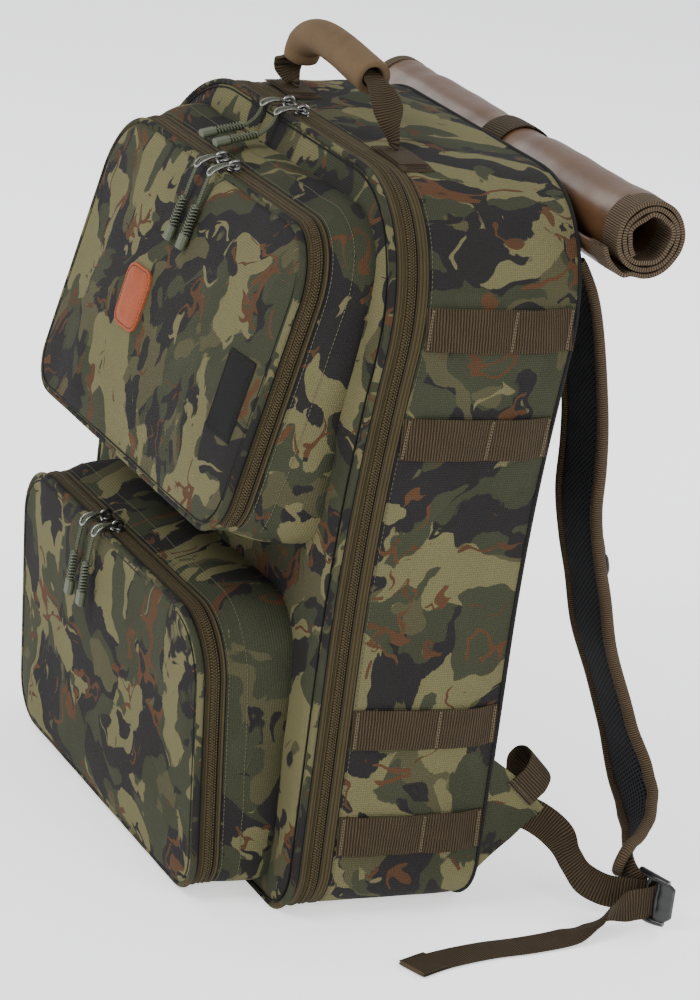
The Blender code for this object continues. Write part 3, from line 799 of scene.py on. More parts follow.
def main_body(rim):
    """The sides, top, base and back as one skin with its lining, bound and stitched."""
    start, back_edge = MAIN_END + 0.0003, 2 * HALF_DEPTH - BACK_SEAM
    skin = Skin()
    rows = []
    for t in fractions(24):
        rows.append([bag_place(rim, i, start + (back_edge - MAIN_END) * t) for i in range(rim.count)])
    skin.grid(rows, wrap=True, turn=True, shift=(0.31, 0.0))
    back = [rows[-1]]
    for share in (0.985, 0.95, 0.88, 0.78, 0.66, 0.52, 0.36, 0.18, 0.04):
        back.append([Vector((x, HALF_DEPTH + lean(z), z)) for x, z in drawn_in(rows[-1], share)])
    skin.grid(back, wrap=True, plane=flat_xz, shift=(0.9, 0.4))
    skin.fill(back[-1], plane=flat_xz)

    def inner(i, distance):
        p = rim.at(i, distance)
        floor = 0.0045 * smooth((0.05 - p.z) / 0.03)
        return rim.at(i, distance, -0.0042 - floor + 0.0012 * ripple(p, 22, 5))

    lining = [rows[0]]
    for t in fractions(12):
        lining.append([inner(i, start + LINING_DEPTH * t) for i in range(rim.count)])
    last = lining[-1]
    for share in (0.97, 0.9, 0.76, 0.58, 0.4, 0.22, 0.05):
        lining.append([Vector((x, HALF_DEPTH - 0.0100 + lean(z) + 0.0015 * ripple(p * share, 15, 9), z))
                       for p, (x, z) in zip(last, drawn_in(last, share))])
    skin.closed(lining, 1, turn=True)
    skin.make("main_body", "bag", [CAMO, LINING], "camo_fabric", ["main_shell"])

    edge = Skin()
    ring = [bag_place(rim, i, back_edge, 0.0002) for i in range(rim.count)]
    rod(edge, ring, 0.0015, 8, closed=True)
    edge.make("back_edge_binding", "bag", [BLACK_BINDING], "webbing")

    seam = Skin()
    places = rim.zip_run()
    line = [bag_place(rim, i, MAIN_END + 0.0022, 0.0001) for i in places]
    stitches(seam, line, [rim.normals[i] for i in places])
    seam.make("main_seam_stitches", "bag", [THREAD], "webbing")


def zip_band(name, rim, near, far, chain, body, replaced):
    """One side of a zip: tape on the zip's run and fabric across the foot, as a closed band.

    near is beside the coil and far is the tape's edge. A front tape runs forward, to a smaller far.
    """
    skin = Skin()
    width = far - near
    away = 1 if width > 0 else -1
    profile = []
    for t in fractions(14):
        d = near + width * t
        from_chain = abs(d - chain)
        ridge = 0.0010 * math.exp(-((from_chain - 0.0034) / 0.0008) ** 2)
        hem = 0.0008 * smooth((from_chain - width * 0.72) / 0.0012)
        profile.append((d, ridge + hem))
    places = rim.zip_run()
    for stretch, slot in ((places, 0), (rim.foot_run(), 1)):
        rows = [[rim.at(i, d, h) for i in stretch] for d, h in profile]
        under = [[rim.at(i, d, -TAPE_DEPTH) for i in stretch] for d in (far, near)]
        skin.grid(rows + under + rows[:1], slot)
    skin.make(name, body, [TAPE, CAMO], "zip_tape", [replaced])

    teeth = Skin()
    line = rim.ring(chain)
    travelled = PITCH / 2 if away > 0 else 0.0
    for i in places[:-1]:
        a, b = line[i], line[(i + 1) % rim.count]
        span = (b - a).length
        while travelled < span:
            t = travelled / span
            back = rim.back[i].lerp(rim.back[(i + 1) % rim.count], t).normalized()
            up = rim.normals[i].lerp(rim.normals[(i + 1) % rim.count], t).normalized()
            tooth(teeth, a.lerp(b, t), (b - a).normalized(), back * away, up)
            travelled += PITCH
        travelled -= span
    teeth.make(name.replace("band", "teeth"), body, [COIL], "zip_tape", sharp=40)

    thread = Skin()
    # the two rods in slot 1 are painted shade lines in the grooves beside the coil and at the tape's edge
    groove = far - HALF_GAP if away > 0 else chain      # at a rear tape's edge, under a front tape's coil
    for distance, height, radius, slot in ((chain + away * 0.0034, 0.0009, 0.0008, 0),
                                           (chain + away * 0.0016, 0.0017, 0.0006, 0),
                                           (chain + away * 0.0052, 0.0003, 0.0006, 1),
                                           (groove, 0.0006, 0.0006, 1)):
        rod(thread, [rim.at(i, distance, height) for i in places], radius, 6, slot=slot)
    thread.make(name.replace("band", "coil_thread"), body, [COIL_THREAD, PAINTED_SHADE], "zip_tape")


def tooth(skin, at, along, away, up):
    """One turn of the coil, from under its ridge to just past the middle of the zip."""
    rings = []
    for out, high, wide in ((0.0030, 0.0003, 0.0005), (0.0023, 0.0013, 0.0007), (0.0006, 0.0016, 0.00075),
                            (-0.0007, 0.0008, 0.0006)):
        rings.append([at + away * out + along * side * wide + up * lift
                      for side, lift in ((-1, -0.0003), (-0.75, high), (0.75, high), (1, -0.0003))])
    skin.tube(rings)


def piping(name, rim, body, radius=0.0026, distance=0.0012):
    """A fabric-covered cord round a lid's edge, with lines of painted shade beside it."""
    skin = Skin()
    ring = [p + Vector((0, 0, 0.0003 * ripple(p, 60, 2))) for p in rim.ring(distance, 0.0009)]
    rod(skin, ring, radius, 12, closed=True, turn=False)
    skin.uvs = [[(u * 1.7, v * 1.7) for u, v in face] for face in skin.uvs]
    skin.make(name, body, [CAMO], "camo_fabric")
    shade_rods = Skin()
    # painted shade: dark rods beside the cord and on the lid's face, where its shadow falls
    rod(shade_rods, rim.ring(distance + radius + 0.0009, 0.0002), 0.0009, 6, closed=True)
    face = [p - n * 0.0030 + rim.forward * 0.0009 for p, n in zip(rim.edge, rim.normals)]
    rod(shade_rods, face, 0.0008, 6, closed=True)
    shade_rods.make(name + "_seam", body, [PAINTED_SHADE], "camo_fabric")


def main_lid(rim):
    """The front panel with its folds, its edge band and its inner face."""
    skin = Skin()
    rows = []
    for share in (1.0, 0.992, 0.982, 0.968, 0.95, 0.93, 0.91, 0.885, 0.86, 0.83, 0.8, 0.76, 0.72, 0.67, 0.6,
                  0.52, 0.43, 0.33, 0.22, 0.11, 0.03):
        row = []
        for x, z in drawn_in(rim.edge, share):
            at = Vector((x, -HALF_DEPTH + lean(z), z))
            inside = smooth((1 - share) / 0.045)
            swell = 0.0030 * inside * smooth(min(z, HEIGHT - z) / 0.05 + 0.2)
            at.y -= swell + inside * (0.0030 * ripple(at, 14, 21) + 0.0014 * ripple(at, 31, 4)) * 0.8
            row.append(at)
        rows.append(row)
    skin.closed(rows, plane=flat_xz)
    inner_edge, depth = 0.0040, 0.0040
    skin.grid([rim.ring(d, -0.0002) for d in (0.0, 0.0016, 0.0034, inner_edge)], wrap=True, turn=True)
    back = [rim.ring(inner_edge, -0.0002), rim.ring(inner_edge, -0.0040)]
    for share in (0.97, 0.85, 0.65, 0.45, 0.25, 0.05):
        back.append([Vector((x, -HALF_DEPTH + depth + lean(z), z)) for x, z in drawn_in(rim.edge, share)])
    skin.closed(back, 1, plane=flat_xz)
    skin.make("main_lid_fabric", "main_lid", [CAMO, LINING], "camo_fabric", ["main_lid_panel"])


# ------------------------------------------------------------------ front pockets
def pocket_height(rim, i, distance, seed):
    """How far a pocket's stuffed gusset stands proud."""
    deep = rim.depth[i % rim.count]
    share = min(1.0, max(0.0, (distance - POCKET_END) / (deep - POCKET_END)))
    at = rim.at(i, distance)
    swell = 0.0034 * math.sin(math.pi * share) ** 0.8
    folds = 0.0030 * ripple(at, 17, seed) + 0.0015 * ripple(at, 41, seed + 3)
    hold = smooth(share / 0.25) * smooth((1 - share) / 0.1)
    foot = 0.1 + 0.9 * smooth((at.z - 0.004) / 0.02)
    return (swell + folds * hold) * foot


def pocket_shell(name, rim, seed):
    """The gusset of a pocket with its lining, stitched along the zip."""
    start = POCKET_END + 0.0002
    skin = Skin()
    rows = []
    for t in fractions(14):
        row = []
        for i in range(rim.count):
            distance = start + (rim.depth[i] + 0.0030 - POCKET_END) * t
            row.append(rim.at(i, distance, pocket_height(rim, i, distance, seed)))
        rows.append(row)
    skin.grid(rows, wrap=True, turn=True, shift=(seed * 0.13, 0.2))
    lining = [rows[0]]
    for k, t in enumerate(fractions(8)):
        row = []
        for i in range(rim.count):
            under = -0.0034 + 0.0008 * ripple(rim.at(i, 0.01 * k), 25, seed)
            row.append(rim.at(i, start + (rim.depth[i] - 0.0045 - POCKET_END) * t, under))
        lining.append(row)
    last = lining[-1]
    middle = sum(last, Vector()) / len(last)
    for share in (0.96, 0.85, 0.66, 0.45, 0.25, 0.06):
        row = [middle + (p - middle) * share for p in last]
        for p in row:
            p.y = -HALF_DEPTH + lean(p.z) - 0.0045
        lining.append(row)
    skin.closed(lining, 1, turn=True)
    skin.make(name + "_pocket_walls", "main_lid", [CAMO, LINING], "camo_fabric", [name + "_pocket_shell"])

    seam = Skin()
    places = rim.zip_run()
    for distance in (POCKET_END + 0.0018, POCKET_END + 0.0150):
        line = [rim.at(i, distance, pocket_height(rim, i, distance, seed) + 0.0001) for i in places]
        stitches(seam, line, [rim.normals[i] for i in places], pitch=0.0033)
    seam.make(name + "_pocket_stitches", "main_lid", [THREAD], "webbing")


def pocket_lid(name, rim, pocket, seed):
    """The bulging front panel of a pocket, its edge band and its inner face."""
    skin = Skin()
    forward = rim.forward
    up = forward.cross(Vector((1, 0, 0)))
    shift = (seed * 0.21, seed * 0.4)

    def mark(p):
        return p.x, (p - rim.middle).dot(up)

    rows = []
    for share in (1.0, 0.994, 0.985, 0.972, 0.955, 0.935, 0.91, 0.88, 0.85, 0.81, 0.77, 0.72, 0.67, 0.61,
                  0.54, 0.47, 0.39, 0.3, 0.2, 0.1, 0.02):
        hold = smooth((1 - share) / 0.10)
        swell = pocket["bulge"] * (1 - share ** 2.6) + 0.0012 * smooth((1 - share) / 0.02)
        row = []
        for p in rim.inward(share):
            x, v = mark(p)
            drape = 0.0030 * ripple((x, v, 0), 11, seed) + 0.0016 * ripple((x, v * 0.45, 0), 26, seed + 5)
            row.append(p + forward * (swell + drape * hold))
        rows.append(row)
    skin.closed(rows, plane=mark, shift=shift)
    skin.grid([rim.ring(d, -0.0002) for d in (0.0, 0.0014, 0.0028)], wrap=True, turn=True)
    back = [rim.ring(0.0028, -0.0002)]
    for share in (0.97, 0.85, 0.65, 0.42, 0.2, 0.04):
        back.append(rim.inward(share, -0.0030))
    skin.closed(back, 1, plane=mark)
    return skin.make(name + "_lid_fabric", name + "_lid", [CAMO, LINING], "camo_fabric",
                     [name + "_pocket_lid"])


def surface_of(piece):
    """A function that drops a point onto a piece along a direction."""
    bm = bmesh.new()
    bm.from_mesh(piece.data)
    tree = BVHTree.FromBMesh(bm)
    bm.free()

    def drop(point, direction, lift=0.0):
        direction = Vector(direction).normalized()
        hit = tree.ray_cast(Vector(point) - direction * 0.05, direction, 0.12)[0]
        return (hit or Vector(point)) - direction * lift
    return drop


def sewn_patch(name, drop, centre, forward, size, radius, rise, material, slot, replaced):
    """A flat patch with a turned edge, laid on the upper lid and stitched round."""
    up = forward.cross(Vector((1, 0, 0)))
    width, height = size
    shape = outline((6, 8, 6, 6, 6), width / 2, -height / 2, height / 2, radius, radius)

    def ring(share, lift):
        row = []
        for x, v in shape:
            above = centre + Vector((x * share, 0, 0)) + up * (v * share) + forward * 0.02
            row.append(drop(above, -forward, lift))
        return row

    skin = Skin()
    sewn = 0.90
    skin.closed([ring(1, -0.0004), ring(1, rise * 0.75), ring(0.985, rise), ring(0.93, rise),
                 ring(sewn, rise * 0.72), ring(0.87, rise * 0.98), ring(0.6, rise), ring(0.3, rise),
                 ring(0.03, rise)], plane=flat_xz)
    skin.make(name, "upper_lid", [material], slot, replaced)
    seam = Skin()
    line = ring(sewn, rise * 0.75)
    stitches(seam, line + line[:1], [forward] * (len(line) + 1), pitch=0.0028, length=0.0019, radius=0.0003)
    seam.make(name + "_stitches", "upper_lid", [DARK_THREAD], slot)


# ------------------------------------------------------------------ zip sliders and pulls
# The way each pull hangs, as (forward, up) from its axis: wire loop, cord, then grip.
ROUTES = {
    "main": ((0, 0), (0.0024, 0), (0.012, 0), (0.019, -0.003), (0.024, -0.013), (0.032, -0.0195),
             (0.034, -0.0200), (0.052, -0.0240), (0.066, -0.0272)),
    "upper": ((0, 0), (0.0024, 0), (0.010, -0.001), (0.0175, -0.005), (0.0215, -0.014), (0.0265, -0.032),
              (0.0310, -0.0475), (0.0356, -0.063)),
    "lower": ((0, 0), (0.0024, 0), (0.010, -0.0005), (0.0165, -0.004), (0.0195, -0.013), (0.0213, -0.030),
              (0.0222, -0.0465), (0.0231, -0.063))}
SLOPES = {"main": 0, "upper": 13, "lower": 9}       # degrees that a slider tips forward
BRIDGE_RISE = 0.00535       # from the foot of a slider to the axis of its pull
LOOP_LENGTH, LOOP_HALF, LOOP_HEEL = 0.0225, 0.0040, 0.0024      # wire loop: length, half width, narrow end
WIRE_RADIUS, CORD_RADIUS = 0.00092, 0.00095
GRIP_LENGTH, GRIP_RIBS, RIB_PITCH = 0.0340, 9, 0.0024


def slider(name, zip_name, side):
    """A gunmetal slider: waisted body, raised rails and an arch for the pull."""
    axis = Vector(JOINTS[f"{zip_name}_pull_{side}_swing"]["pos_m"])
    tilt = math.radians(SLOPES[zip_name])
    forward = Vector((0, -math.cos(tilt), -math.sin(tilt)))
    up = Vector((0, -math.sin(tilt), math.cos(tilt)))
    nose = 1 if side == "left" else -1
    foot = axis - up * BRIDGE_RISE
    skin = Skin()

    def ring(length, width, height):
        """A plate outline: broad shoulders at the nose, narrow at the heel."""
        marks = ((0.5, 0.28), (0.42, 0.44), (0.18, 0.5), (-0.1, 0.40), (-0.38, 0.30), (-0.5, 0.16))
        half = [(nose * u * length, v * width) for u, v in marks]
        whole = half + [(u, -v) for u, v in half[::-1]]
        return [foot + Vector((u, 0, 0)) + forward * v + up * height for u, v in whole]

    foot_plate = [ring(0.0120, 0.0085, 0.0002), ring(0.0130, 0.0094, 0.0006), ring(0.0130, 0.0094, 0.0014)]
    waist = [ring(0.0118, 0.0078, 0.0019), ring(0.0118, 0.0078, 0.0024)]
    top_plate = [ring(0.0128, 0.0092, 0.0028), ring(0.0128, 0.0092, 0.0036), ring(0.0118, 0.0080, 0.0041),
                 ring(0.0060, 0.0036, 0.0042)]
    skin.closed(foot_plate + waist + top_plate, both=True)
    arch = [foot + forward * (0.0040 * math.cos(math.pi * t)) + up * (0.0038 + 0.0036 * math.sin(math.pi * t))
            for t in fractions(12)]
    rod(skin, arch, 0.0010, 8, side=(1, 0, 0), flat=1.5)
    skin.make(name, name, [METAL], "zip_metal", [name])


def wire_loop():
    """(distance, x) round the wire loop, from its narrow heel to its round nose and back."""
    straight = LOOP_LENGTH - LOOP_HALF - LOOP_HEEL
    side = [(LOOP_HEEL + straight * t, LOOP_HEEL + (LOOP_HALF - LOOP_HEEL) * smooth(t))
            for t in fractions(6)[1:-1]]
    heel = [(LOOP_HEEL + LOOP_HEEL * math.sin(a), LOOP_HEEL * math.cos(a))
            for a in (math.pi * (1 + t) for t in fractions(8))]
    nose = [(LOOP_HEEL + straight + LOOP_HALF * math.sin(a), LOOP_HALF * math.cos(a))
            for a in (math.pi * t for t in fractions(10))]
    return heel + side + nose + [(distance, -x) for distance, x in side[:0:-1]]


def pull(name, zip_name):
    """A zip pull: wire loop, doubled cord and ribbed moulded grip."""
    axis = Vector(JOINTS[name + "_swing"]["pos_m"])
    path = curve([(0, -ahead, rise) for ahead, rise in ROUTES[zip_name]], 80)
    reached = lengths(path)
    total = reached[-1]
    grip_start = total - GRIP_LENGTH
    leans = 0.0024 if zip_name == "main" else 0.0       # the main pulls lean to the left

    def along(distance):
        """Place, direction and upward direction at a distance along the pull."""
        at, k = place_along(path, reached, distance)
        ahead = (path[k + 1] - path[k]).normalized()
        aside = Vector((-leans * smooth(distance / 0.02), 0, 0))
        return axis + at + aside, ahead, ahead.cross(Vector((1, 0, 0)))

    wire = Skin()
    ring = [along(max(0.0, distance))[0] + Vector((x, 0, 0)) for distance, x in wire_loop()]
    rod(wire, ring, WIRE_RADIUS, 8, closed=True, side=(0.2, 0.3, 1))
    wire.make(name + "_wire", name, [METAL], "zip_metal")

    cord = Skin()
    begin, end = 0.0060, grip_start + 0.002

    def strand(side):
        points = []
        for t in fractions(14):
            distance = begin + (end - begin) * t
            at, _, up = along(distance)
            dip = -0.0010 * smooth((distance - 0.014) / 0.006)
            points.append(at + Vector((side * 0.00105, 0, 0)) + up * (0.0002 + dip))
        return points

    at, _, up = along(0.0052)
    rod(cord, strand(-1)[::-1] + [at + up * 0.0002] + strand(1), CORD_RADIUS, 8, side=(0.1, 0.2, 1))
    cord.make(name + "_cord", name, [CORD], "pull_cord")

    rows = []

    def section(distance, half, rise, notch=0.0):
        at, ahead, up = along(min(distance, total))
        top = ((-1, 0.25), (-1, -0.25), (-0.72, -1), (0, -1), (0.72, -1))
        shape = top + tuple((-x, -v) for x, v in top)
        rows.append([at + Vector((x * half, 0, 0)) + up * (v * rise) + ahead * (notch * (1 - abs(x)))
                     for x, v in shape])

    section(grip_start, 0.0018, 0.0013)
    section(grip_start + 0.0006, 0.0024, 0.0017)
    first_rib = grip_start + 0.0010
    for k in range(GRIP_RIBS):
        for step, half, rise in ((0.0, 0.0028, 0.0012), (0.0002, 0.0049, 0.0023), (0.0010, 0.0047, 0.0022),
                                 (0.0015, 0.0028, 0.0012)):
            section(first_rib + RIB_PITCH * k + step, half, rise, 0.0016)
    block = first_rib + RIB_PITCH * GRIP_RIBS
    section(block, 0.0040, 0.0019)
    section(block + 0.0005, 0.0050, 0.0026)
    section(total - 0.0006, 0.0049, 0.0026)
    section(total, 0.0045, 0.0020)
    grip = Skin()
    gaps = {1 + 4 * k for k in range(1, GRIP_RIBS)}     # the stretches between two ribs are painted dark, as shade
    for k in range(len(rows) - 1):
        grip.grid(rows[k:k + 2], int(k in gaps), wrap=True)
    grip.fill(rows[0])
    grip.fill(rows[-1])
    grip.make(name + "_grip", name, [OLIVE, PAINTED_SHADE], "pull_cord", [name], sharp=32)


# ------------------------------------------------------------------ carry handle
HANDLE_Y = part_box("handle_grip")[0][1] / 2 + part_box("handle_grip")[1][1] / 2
GRIP_RADIUS, GRIP_HOLLOW = 0.0132, 0.00792
GRIP_ENDS, GRIP_LOW, GRIP_CLIMB, GRIP_ARCH = (-0.088, 0.037), 0.5585, 0.0155, 0.0185
# Middle line of each webbing leg as (x, z), from its tab to the grip.
LEGS = {"left": ((-0.094, 0.5345), (-0.0945, 0.5395), (-0.1035, 0.5440), (-0.109, 0.5495), (-0.1000, 0.5545),
                 (-0.086, 0.5640)),
        "right": ((0.082, 0.5345), (0.082, 0.5395), (0.0755, 0.5485), (0.064, 0.5610), (0.048, 0.5705),
                  (0.028, 0.5755))}


def foam_grip():
    """An arched foam tube with a slightly dented skin and open ends."""
    left, right = GRIP_ENDS
    last = 32
    arch = []
    for t in fractions(last):
        rise = GRIP_CLIMB * t + GRIP_ARCH * math.sin(math.pi * math.sqrt(t))
        arch.append((left + (right - left) * t, HANDLE_Y, GRIP_LOW + rise))
    arch = curve(arch, last + 1)
    ahead = headings(arch)

    def around(k, radius, push=0.0, dents=0.0):
        direction, across, up = turned(ahead[k], (0, 1, 0))
        row = []
        for a in (2 * math.pi * j / 28 for j in range(28)):
            size = radius + dents * ripple((math.cos(a), math.sin(a), arch[k].x * 30), 1.3, 6)
            around_it = across * math.cos(a) * 1.04 + up * math.sin(a)
            row.append(arch[k] + direction * push + around_it * size)
        return row

    def mouth(k, inward):
        """From inside the tube out over its rim."""
        return [around(k, GRIP_HOLLOW, inward * 0.016), around(k, GRIP_HOLLOW, inward * 0.0008),
                around(k, GRIP_HOLLOW + 0.0010, inward * 0.0001), around(k, GRIP_RADIUS - 0.0012)]

    rows = mouth(0, 1)
    for k in range(last + 1):
        inward = {0: 1, last: -1}.get(k, 0)
        rows.append(around(k, GRIP_RADIUS - 0.0004 * abs(inward), 0.0006 * inward, 0.0004))
    rows += mouth(last, -1)[::-1]
    skin = Skin()
    skin.closed(rows, turn=True, both=True)
    skin.make("foam_handle", "handle", [FOAM], "foam_grip", ["handle_grip"], sharp=60)


def handle_leg(label):
    """Webbing that rises from its tab, twists and folds into the grip's end."""
    count = 44
    leg = Skin()
    points = curve([(x, HANDLE_Y, z) for x, z in LEGS[label]], count)
    twist = spread((0.05, 0.30, 0.95, 1.30, math.pi / 2, math.pi / 2), count)
    widths = spread((0.0120, 0.0150, 0.0220, 0.0220, 0.0160, 0.0135), count)
    depths = spread((0.0016, 0.0017, 0.0020, 0.0030, 0.0050, 0.0060), count)
    strap(leg, points, [(math.cos(a), math.sin(a), 0) for a in twist], widths, depths,
          cup=spread((0.0, 0.1, 0.25, 0.45, 0.3, 0.0), count))
    leg.make("handle_webbing_" + label, "handle", [WEBBING], "webbing", ["handle_leg_" + label])


def handle_tab(label, drop):
    """Webbing sewn down on the bag in two layers, with rows of stitches beside the leg."""
    low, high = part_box("handle_tab_" + label)
    middle, reach = (low[0] + high[0]) / 2, (high[0] - low[0]) / 2
    above, down = 0.56, (0, 0, -1)
    tab = Skin()
    line = [drop((middle + reach * (k - 12) / 12, HANDLE_Y, above), down, 0.0012) for k in range(25)]
    strap(tab, line, [(0, 1, 0)] * len(line), 0.025, WEBBING_THICKNESS)
    upper = [p + Vector((0, 0, 0.0012)) for p in line[4:-4]]
    strap(tab, upper, [(0, 1, 0)] * len(upper), 0.0225, 0.0012)
    tab.make("handle_base_" + label, "bag", [WEBBING], "webbing", ["handle_tab_" + label])
    sewing = Skin()
    for share in (-0.93, -0.78, 0.78, 0.93):
        x = middle + reach * share
        if abs(x - LEGS[label][0][0]) >= 0.010:
            row = [drop((x, HANDLE_Y - 0.0105 + 0.021 * t, above), down, 0.0023) for t in fractions(8)]
            stitches(sewing, row, [(0, 0, 1)] * len(row), pitch=0.0020, length=0.0017, radius=0.0004)
    sewing.make("handle_base_stitches_" + label, "bag", [DARK_THREAD], "webbing")


def handle(drop):
    """The carry handle; drop finds the bag's top under its tabs."""
    foam_grip()
    for label in LEGS:
        handle_leg(label)
        handle_tab(label, drop)


# ------------------------------------------------------------------ webbing loops on the sides
LOOP_SEWN = (0.02, 0.57, 0.97)              # where the loops are sewn down, as shares of their length


def side_loop(name, side, middle, drop):
    """One row of webbing, sewn flat at its ends and bar-tacked about half-way."""
    count = 40
    start, end = -HALF_DEPTH + MAIN_END + 0.0010, HALF_DEPTH - 0.0030
    face = Vector((side, 0, 0))
    half = 0.013                            # the bag is felt this far above and below the middle
    points, sides = [], []
    for t in fractions(count):
        y = start + (end - start) * t
        lift = 0.0009 + 0.0018 * smooth(min(abs(t - s) for s in LOOP_SEWN) / 0.16)
        z = middle + 0.0006 * math.sin(math.pi * 2 * t)
        high, low = (drop((side * 0.27, y + lean(v), v), -face, lift) for v in (z + half, z - half))
        points.append((high + low) / 2)
        sides.append(high - low)
    skin, sewing = Skin(), Skin()
    strap(skin, points, sides, LOOP_WIDTH, WEBBING_THICKNESS, columns=10)
    skin.make("webbing_loop_" + name, "bag", [WEBBING], "webbing", ["side_loop_" + name])
    for share in LOOP_SEWN:
        k = round(share * count)
        rise = sides[k].normalized()
        for step in (-0.0006, 0.0006):
            line = [points[k] + rise * (-0.0140 + 0.028 * t) + Vector((0, step, 0)) + face * 0.0009
                    for t in fractions(8)]
            stitches(sewing, line, [face] * len(line), pitch=PITCH, length=0.0019, radius=0.00036)
    sewing.make("bar_tacks_" + name, "bag", [SEAM_THREAD], "webbing")


def side_loops(drop):
    for side, label in SIDES:
        for row, top in enumerate(LOOP_TOPS, 1):
            side_loop(f"{label}_{row}", side, top - LOOP_WIDTH / 2, drop)


# ------------------------------------------------------------------ rolled mat
ROLL_LEFT, ROLL_RIGHT = -0.200, 0.216
SHEET_THICKNESS = 0.0021
TURNS = 2.95
ROLL_START, ROLL_SHRINK = -112, 0.0130      # where the spiral starts, and how far it closes in


MAT_STRAP_WIDTH = 0.030


def roll_path():
    """The spiral from the seam on the bag's back, under the roll and in round it to its core."""
    cy, cz = ROLL_CENTRE
    points = [(0, 0.1035, 0.5010), (0, 0.1090, 0.4905), (0, 0.1200, 0.4815)]
    for t in fractions(46):
        a = math.radians(ROLL_START) + 2 * math.pi * TURNS * t
        radius = ROLL_RADIUS - SHEET_THICKNESS / 2 - ROLL_SHRINK * t
        radius += t * t * (0.0011 * math.sin(2 * a + 0.7) + 0.0013 * math.sin(5 * a + 0.4))
        points.append((0, cy + radius * math.cos(a), cz + radius * math.sin(a)))
    return curve(points, 190)


def hump(x, middle, width, power=2):
    """1 at the middle, falling to nothing beyond the width."""
    return math.exp(-((x - middle) / width) ** power)


def rolled_strip(skin, path, x_low, x_high, thickness, columns, crease):
    """Part of the rolled sheet between two places across it, creased near its ends and its strap."""
    ahead = headings(path)
    rows = []
    for t in fractions(columns):
        x = x_low + (x_high - x_low) * t
        gathered = 0.25 + 0.9 * (hump(abs(x), 0.030, 0.016) + hump(x, ROLL_RIGHT - 0.040, 0.022)
                                 + hump(x, ROLL_LEFT + 0.036, 0.018))
        under_strap = hump(x, 0, 0.0195, 6)
        outer, inner = [], []
        for i, (p, d) in enumerate(zip(path, ahead)):
            share = i / (len(path) - 1)
            outermost = smooth((0.48 - share) / 0.10)
            fold = ripple((x * 34, share * 9, 0), 1.0, 12)
            long_fold = ripple((x * 7, share * 26, 0), 1.0, 17)
            dent = outermost * crease * (fold * gathered + 0.5 * long_fold)
            dent = dent * (1 - under_strap) - outermost * 0.0012 * under_strap
            out = Vector((0, d.z, -d.y))
            at = Vector((x, p.y, p.z)) + out * dent
            outer.append(at + out * thickness / 2)
            inner.append(at - out * thickness / 2)
        rows.append(outer + inner[::-1])
    skin.grid(rows, wrap=True)
    for row in (rows[0], rows[-1]):
        half = len(row) // 2
        skin.grid([row[:half], row[half:][::-1]])


def mat():
    """The rolled sheet with its two bindings, and the webbing strap round its middle."""
    path = roll_path()
    sheet = Skin()
    rolled_strip(sheet, path, ROLL_LEFT + 0.004, ROLL_RIGHT - 0.004, SHEET_THICKNESS, 84, 0.0030)
    piece = sheet.make("unhooking_mat", "bag", [PVC], "mat_pvc", ["mat_sheet"], sharp=70)
    for label, low, high in (("left", ROLL_LEFT, ROLL_LEFT + 0.010),
                             ("right", ROLL_RIGHT - 0.022, ROLL_RIGHT)):
        skin = Skin()
        rolled_strip(skin, path, low, high, SHEET_THICKNESS + 0.0012, 6, 0.0012)
        skin.make("mat_edge_" + label, "bag", [ROLL_BINDING], "webbing",
                                  ["mat_binding_" + label], sharp=60)
    round(lengths(path)[-1], 3)

    cy, cz = ROLL_CENTRE
    points = []
    for k in range(49):
        angle = 196 - 268 * k / 48
        closing = ROLL_SHRINK * (angle - ROLL_START) / (360 * TURNS)
        reach = ROLL_RADIUS - closing + 0.0004 + 0.0003 * math.sin(k * 0.4) ** 2
        a = math.radians(angle)
        points.append(Vector((0.001 * math.sin(k * 0.2), cy + reach * math.cos(a), cz + reach * math.sin(a))))
    skin = Skin()
    strap(skin, points, [(1, 0, 0)] * len(points), MAT_STRAP_WIDTH, WEBBING_THICKNESS)
    skin.make("mat_strap_webbing", "bag", [WEBBING], "webbing", ["mat_strap"])


# ------------------------------------------------------------------ padded back
def box_marks(mesh, shift=(0.0, 0.0)):
    """UVs in metres, read along the two axes that each face looks across."""
    layer = mesh.uv_layers.get("UVMap") or mesh.uv_layers.new(name="UVMap")
    for face in mesh.polygons:
        n = [abs(c) for c in face.normal]
        for k in face.loop_indices:
            p = mesh.vertices[mesh.loops[k].vertex_index].co
            if n[1] >= max(n[0], n[2]):
                u, v = p.x, p.z
            elif n[0] >= n[2]:
                u, v = p.y, p.z
            else:
                u, v = p.x, p.y
            layer.data[k].uv = (u + shift[0], v + shift[1])


def evaluated(piece):
    """A mesh with the piece's modifiers applied, which are then taken off."""
    depsgraph = bpy.context.evaluated_depsgraph_get()
    mesh = bpy.data.meshes.new_from_object(piece.evaluated_get(depsgraph))
    piece.modifiers.clear()
    return mesh


